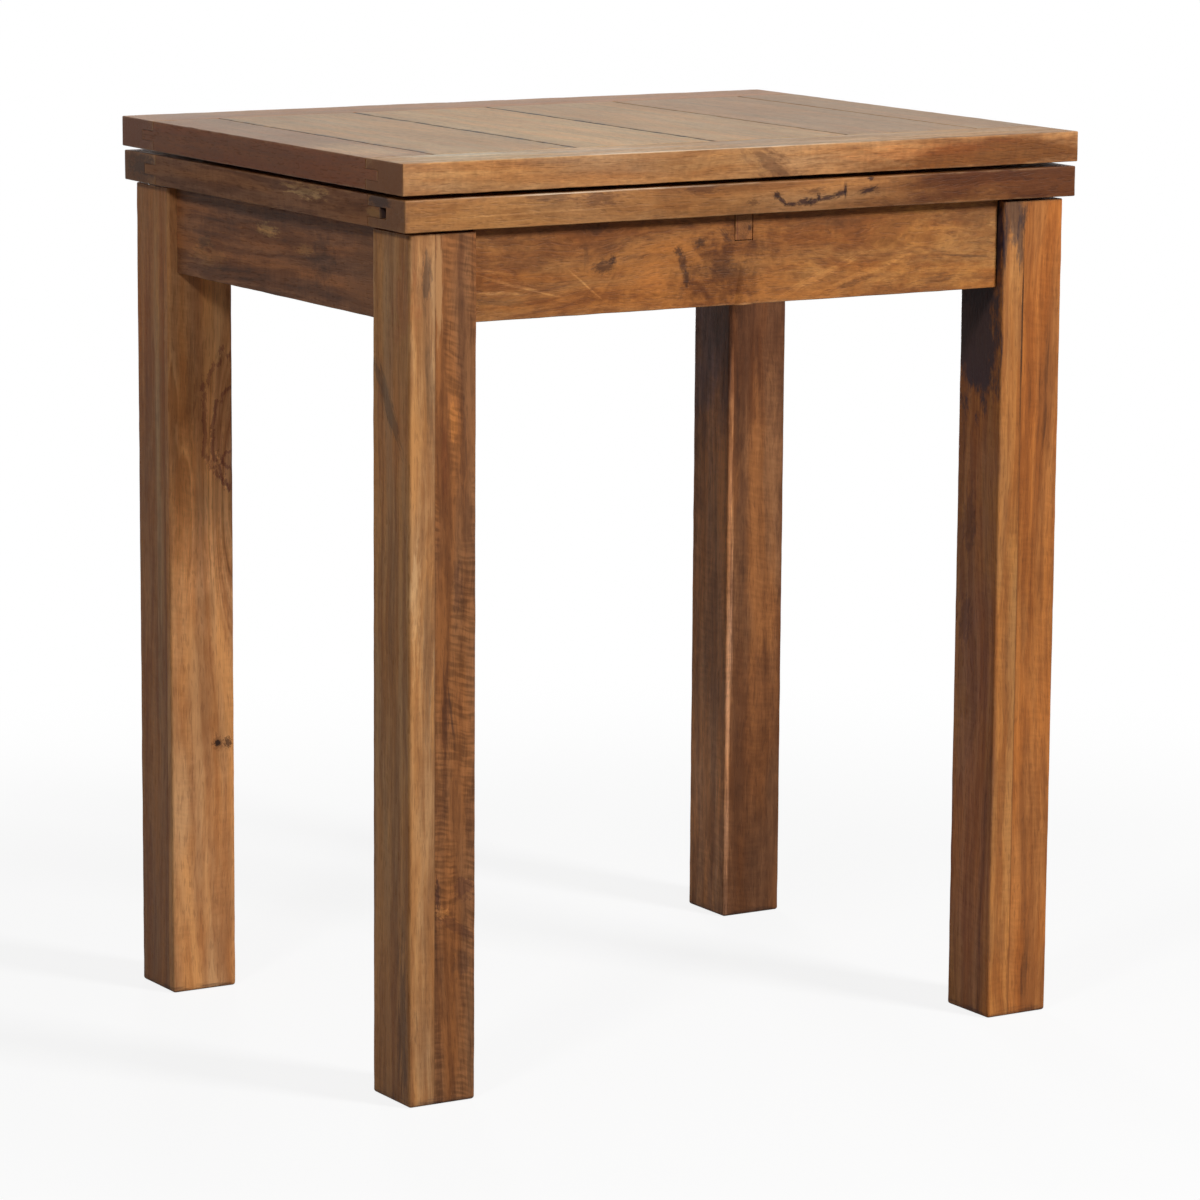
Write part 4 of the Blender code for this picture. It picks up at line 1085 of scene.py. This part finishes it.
def makeLeafBoard(name, node, look):
    low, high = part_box(node)
    leftmost, rightmost = "left_stile" in node, "right_stile" in node
    middle = (low.z + high.z) / 2
    half = leafWork["tongueThick"] / 2
    slot = half + leafWork["tongueFit"]
    tip = high.y
    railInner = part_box(node.split("_")[0] + "_back_rail")[0].y
    shoulder = railInner - leafWork["shoulderFit"]
    tongue = 0 if rightmost else leafWork["seam"] + leafWork["edgeTongue"]
    groove = 0 if leftmost else leafWork["edgeGroove"]
    faceLow, faceHigh = low.x, high.x - tongue
    coreLow, coreHigh = Vector((low.x + groove, -shoulder, low.z)), Vector((faceHigh, shoulder, high.z))
    piece = startBlock(name, coreLow, coreHigh)
    cutAcross(zAxis, (middle - slot, middle - half, middle + half, middle + slot))
    if groove:
        pickFaces(piece, lambda at, normal: normal.x < -facing and abs(at.z - middle) > slot)
        pushFaces((-groove, 0, 0))
    if tongue:
        pickFaces(piece, lambda at, normal: normal.x > facing and abs(at.z - middle) < half)
        pushFaces((tongue, 0, 0))
    for end in (-1, 1):
        pickFaces(piece, lambda at, normal: normal.y * end > facing and abs(at.z - middle) < half)
        pushFaces((0, end * (tip - shoulder), 0))
    cutEvenly(yAxis, -shoulder, shoulder, leafWork["wearStep"])

    def onFace(at):
        return abs(at.z - middle) > (high.z - low.z) / 2 - touch

    def onOutside(at):
        side = low.x if leftmost else high.x
        return onFace(at) and (leftmost or rightmost) and abs(at.x - side) < touch

    def onSeam(at):
        clear = leafWork["edgeClear"]
        outer = (leftmost and at.x < low.x + clear) or (rightmost and at.x > high.x - clear)
        return onFace(at) and not outer

    if leftmost or rightmost:
        roundArrises(piece, leafWork["outerRound"], leafWork["steps"], onOutside)
    roundArrises(piece, leafWork["seamRound"], leafWork["seamSteps"], onSeam)
    boardLow, boardHigh = Vector((faceLow, -tip, low.z)), Vector((faceHigh, tip, high.z))
    finishPiece(piece, node, makeWood(name + "Wood", boardLow, boardHigh, along="y", **look))


makeLeafRail("lowerFrontRail", "lower_front_rail", -1, lowerFrontRailLook)
makeLeafRail("lowerBackRail", "lower_back_rail", 1, lowerBackRailLook)
makeLeafRail("upperFrontRail", "upper_front_rail", -1, upperFrontRailLook)
makeLeafRail("upperBackRail", "upper_back_rail", 1, upperBackRailLook)
for board, look in lowerBoards.items():
    makeLeafBoard("lowerBoard_" + board, "lower_" + board, {**lowerFace, **look})
for board, look in upperBoards.items():
    makeLeafBoard("upperBoard_" + board, "upper_" + board, {**topFace, **look})
print("leaves made")


# Hidden wood keeps the CAD shape and gets plain sanded boards' grain
hiddenWood = {"pale": (178, 128, 82), "mid": (146, 98, 60), "wearAndSeamShare": 0.15, "bump": 0.4}


def dressNode(node, material):
    part = frame["nodes"][node]
    part.data.materials.clear()
    part.data.materials.append(material)


for number, node in enumerate(("guide_cleat_left", "guide_cleat_right", "keeper_strip")):
    low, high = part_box(node)
    wood = {**hiddenWood, "shift": (0.5 * number, 0.3, 0.8)}
    dressNode(node, makeWood(node + "Wood", low, high, along="y", **wood))
blocks = ["corner_block_" + end + "_" + side for end in ("front", "back") for side in ("left", "right")]
for number, node in enumerate(blocks):
    low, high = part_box(node)
    wood = {**hiddenWood, "shift": (0.4 * number, 0.9, 0.5), "wearAndSeamShare": 0.0}
    dressNode(node, makeWood(node + "Wood", low, high, along="x", **wood))
print("runner and blocks dressed")


# Hinges: plates and pins keep the CAD shape, welded so that the rolled knuckle shades smoothly
metalWork = {"brushed": (60, 2400, 2400), "brushGloss": 0.18, "clouds": (90, 90, 90), "cloudDetail": 3,
             "tarnish": (0.42, 0.68, 0.0, 0.7), "tarnishGloss": 0.15, "bump": 0.25, "bumpDeep": 0.0002}
brass = {**metalWork, "bright": (206, 172, 104), "stain": (124, 92, 50), "roughness": 0.26}
steel = {**metalWork, "bright": (186, 184, 178), "stain": (120, 116, 108), "roughness": 0.30}
hingeBrass = makeMetal("hingeBrass", brass)
screwBrass = makeMetal("screwBrass", brass)
screwSteel = makeMetal("screwSteel", steel)


def weldedCopy(name, node, material):
    clearSelection()
    piece = bpy.data.objects.new(name, frame["nodes"][node].data.copy())
    scene.collection.objects.link(piece)
    piece.data.materials.clear()
    edit(piece)
    bpy.ops.mesh.select_all(action="SELECT")
    bpy.ops.mesh.remove_doubles(threshold=touch)
    finishPiece(piece, node, material, sanded=False)


for side in ("left", "right"):
    for leaf in ("lower", "upper"):
        weldedCopy(leaf + "HingePlate_" + side, leaf + "_hinge_plate_" + side, hingeBrass)
    weldedCopy("hingePin_" + side, "hinge_pin_" + side, hingeBrass)


# Screws: turned once, with a slot or a cross in the head, then copied to their places
screwWork = {
    "sides": 28,
    "rim": 0.0003,
    "point": 0.003,
    "tip": 0.1,                  # share of the shank's width
    "slotHalf": 0.00048,
    "slotDeep": 0.0009,
    "slotFrom": 0.0006,          # faces lower than this under the top of the head stay whole
    "headFacing": 0.5,           # and so do faces that look up less than this
    "crossReach": 0.55,
    "hingeShank": 0.52,          # shares of the head's width
    "keeperShank": 0.53,
    "smoothAngle": 35,
    "firstTurn": 20,
    "nextTurn": 47,
}
blockScrew = {"head": 0.009, "domeRise": 0.0022, "stem": 0.004, "deep": 0.010, "apart": 0.024,
              "dome": ((0.45, 1.0), (0.40, 0.86), (0.15, 0.62))}      # steps of the rise, each narrower


def startDisc(name, radius):
    clearSelection()
    bpy.ops.mesh.primitive_circle_add(vertices=screwWork["sides"], radius=radius, fill_type="NGON")
    piece = bpy.context.object
    piece.name = piece.data.name = name
    edit(piece)
    bpy.ops.mesh.select_all(action="SELECT")
    return piece


def drawOut(rise, scale=1.0):
    pushFaces((0, 0, rise))
    if scale != 1.0:
        bpy.ops.transform.resize(value=(scale, scale, 1))


def cutRecess(piece, radius, top, crossed):
    bpy.ops.mesh.select_all(action="SELECT")
    bpy.ops.mesh.normals_make_consistent(inside=False)
    half, reach = screwWork["slotHalf"], radius * screwWork["crossReach"]
    cutAcross(xAxis, (-half, half))
    if crossed:
        cutAcross(xAxis, (-reach, reach))
        cutAcross(yAxis, (-reach, -half, half, reach))

    def inRecess(at, normal):
        if normal.z < screwWork["headFacing"] or at.z < top - screwWork["slotFrom"]:
            return False
        if not crossed:
            return abs(at.x) < half
        x, y = abs(at.x), abs(at.y)
        return (x < half and y < reach) or (y < half and x < reach)

    pickFaces(piece, inRecess)
    pushFaces((0, 0, -screwWork["slotDeep"]))


def modelCountersunk(name, head, shank, length, crossed):
    piece = startDisc(name, head / 2)
    drawOut(-screwWork["rim"])
    drawOut(-(head - shank) / 2, shank / head)
    drawOut(-(length - screwWork["rim"] - (head - shank) / 2 - screwWork["point"]))
    drawOut(-screwWork["point"], screwWork["tip"])
    cutRecess(piece, head / 2, 0, crossed)
    clearSelection()
    return piece


def modelDomed(name, screw):
    piece = startDisc(name, screw["stem"] / 2)
    drawOut(screw["deep"])
    drawOut(touch, screw["head"] / screw["stem"])
    for rise, width in screw["dome"]:
        drawOut(screw["domeRise"] * rise, width)
    bpy.ops.mesh.select_all(action="SELECT")
    bpy.ops.transform.translate(value=(0, 0, -screw["deep"]))
    cutRecess(piece, screw["head"] / 2, screw["domeRise"], True)
    clearSelection()
    return piece


def placeCopy(model, name, matrix, body, material, node=None):
    piece = bpy.data.objects.new(name, model.data.copy())
    scene.collection.objects.link(piece)
    piece.data.transform(matrix)
    makeActive(piece)
    bpy.ops.object.shade_smooth_by_angle(angle=math.radians(screwWork["smoothAngle"]))
    piece.data.materials.append(material)
    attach(piece, body)
    if node:
        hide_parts(node)


def setScrews(model, nodes, material):
    for turns, node in enumerate(nodes):
        low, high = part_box(node)
        body = frame["nodes"][node]["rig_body"]
        upward = node.startswith("upper") or node.startswith("keeper")      # points up, head below
        at = Vector(((low.x + high.x) / 2, (low.y + high.y) / 2, low.z if upward else high.z))
        angle = screwWork["firstTurn"] + screwWork["nextTurn"] * turns
        spin = Matrix.Rotation(math.radians(angle), 4, "Z")
        over = Matrix.Rotation(math.pi, 4, "X") if upward else Matrix.Identity(4)
        matrix = Matrix.Translation(at) @ over @ spin
        placeCopy(model, "screw_" + node, matrix, body, material, node)


def screwSize(node):
    low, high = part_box(node)
    return high.x - low.x, high.z - low.z


hingeScrews = [leaf + "_hinge_screw_" + side + "_" + str(k)
               for leaf in ("lower", "upper") for side in ("left", "right") for k in (1, 2, 3)]
keeperScrews = ["keeper_screw_" + str(k) for k in (1, 2, 3, 4)]
head, length = screwSize(hingeScrews[0])
slotted = modelCountersunk("slottedScrew", head, head * screwWork["hingeShank"], length, False)
setScrews(slotted, hingeScrews, screwBrass)
head, length = screwSize(keeperScrews[0])
crossHead = modelCountersunk("crossHeadScrew", head, head * screwWork["keeperShank"], length, True)
setScrews(crossHead, keeperScrews, screwSteel)
domed = modelDomed("domedScrew", blockScrew)
for node in blocks:
    low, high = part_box(node)
    middle = (low + high) / 2
    inward = Vector((-math.copysign(1, middle.x), -math.copysign(1, middle.y), 0)).normalized()
    aim = inward.to_track_quat("Z", "Y").to_matrix().to_4x4()
    for step in (-0.5, 0.5):
        at = middle + Vector((0, 0, step * blockScrew["apart"]))
        name = "blockScrew_" + node + ("_low" if step < 0 else "_high")
        placeCopy(domed, name, Matrix.Translation(at) @ aim, "base", screwSteel)
for model in (slotted, crossHead, domed):
    bpy.data.objects.remove(model, do_unlink=True)
print("hinges and screws set")


# Pads: felt discs near the front corners, pressed thin by the upper leaf
padDisc = {"sides": 40, "round": 0.0007, "steps": 3, "colour": (72, 60, 50), "lint": (104, 90, 76),
           "lintLevels": (0.35, 0.7), "fuzz": (1800, 1800, 2600), "fuzzDetail": 4, "fuzzRough": 0.7,
           "roughness": 0.95, "polish": 0.1, "bump": 0.8, "bumpDeep": 0.0004}
padFelt = makeFelt("padFelt", padDisc)
for side in ("left", "right"):
    node = "leaf_pad_" + side
    low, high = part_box(node)
    clearSelection()
    bpy.ops.mesh.primitive_cylinder_add(vertices=padDisc["sides"], radius=(high.x - low.x) / 2,
                                        depth=high.z - low.z, location=(low + high) / 2)
    pad = bpy.context.object
    pad.name = pad.data.name = "leafPad_" + side
    bpy.ops.object.transform_apply(location=True, rotation=True, scale=True)
    edit(pad)
    roundArrises(pad, padDisc["round"], padDisc["steps"], lambda at: True)
    finishPiece(pad, node, padFelt, sanded=False)
print("pads set")


# Light: a soft key from the front right, a smaller one from the left, a low one behind, a dim surround
lamps = {
    "keyLamp": {"at": (1.5, -2.9, 2.3), "size": 0.7, "watts": 118},
    "leftLamp": {"at": (-2.4, -1.6, 2.4), "size": 0.45, "watts": 28},
    "backLamp": {"at": (1.0, 2.7, 0.50), "size": 0.45, "watts": 34},
}
lampAim = Vector((0, 0, 0.45))


def addLamp(name, at, size, watts):
    data = bpy.data.lights.new(name, "AREA")
    data.size = size
    data.energy = watts
    lamp = bpy.data.objects.new(name, data)
    scene.collection.objects.link(lamp)
    lamp.location = at
    lamp.rotation_euler = (lampAim - Vector(at)).to_track_quat("-Z", "Y").to_euler()


for name, lamp in lamps.items():
    addLamp(name, **lamp)


surround = {"ambient": 0.07, "shown": 1.0}


def shownShare(tree, glossy):
    # 1 where the camera looks, a part of that in reflections, 0 for the light on the object
    path = tree.nodes.new("ShaderNodeLightPath").outputs
    mirrored = calc("MULTIPLY", path["Is Glossy Ray"], glossy)
    return calc("MAXIMUM", calc("MAXIMUM", path["Is Camera Ray"], path["Is Transmission Ray"]), mirrored)


def addWorld():
    world = bpy.data.worlds.new("paleSurround")
    world.use_nodes = True
    tree = world.node_tree
    background = tree.nodes["Background"]
    strength = tree.nodes.new("ShaderNodeMapRange")
    feedNamed(strength, {"Value": shownShare(tree, 1.0), "To Min": surround["ambient"],
                         "To Max": surround["shown"]})
    feedNamed(background, {"Color": (1, 1, 1, 1), "Strength": strength.outputs["Result"]})
    scene.world = world


addWorld()


# Floor: white to the camera with a faint shadow round the legs, duller in what it throws back
floorSet = {"half": 40, "paint": 0.92, "bounce": 0.30, "mirror": 0.35, "nearWhite": 0.86,
            "fadeFrom": 0.5, "fadeTo": 1.5}


def addFloor():
    clearSelection()
    bpy.ops.mesh.primitive_plane_add(size=2 * floorSet["half"])
    floor = bpy.context.object
    floor.name = floor.data.name = "studioFloor"
    material = bpy.data.materials.new("studioFloorPaint")
    material.use_nodes = True
    tree = material.node_tree
    tree.nodes.remove(tree.nodes["Principled BSDF"])
    seen = shownShare(tree, floorSet["mirror"])
    bounce, white = floorSet["bounce"], floorSet["paint"]
    paint = tree.nodes.new("ShaderNodeBsdfDiffuse")
    shade = mixColour(seen, (bounce, bounce, bounce, 1), (white, white, white, 1))
    feed(paint.inputs["Color"], shade)
    glow = tree.nodes.new("ShaderNodeEmission")
    place = tree.nodes.new("ShaderNodeTexCoord").outputs["Object"]
    fade = smoothStep(vectorCalc("LENGTH", place), floorSet["fadeFrom"], floorSet["fadeTo"],
                      floorSet["nearWhite"], 1.0)
    blend = tree.nodes.new("ShaderNodeMixShader")
    shaders = (calc("MULTIPLY", seen, fade), paint.outputs[0], glow.outputs[0])
    for socket, value in zip(blend.inputs, shaders):
        feed(socket, value)
    feed(tree.nodes["Material Output"].inputs["Surface"], blend.outputs[0])
    floor.data.materials.append(material)


addFloor()
print("light and floor set")

clearSelection()
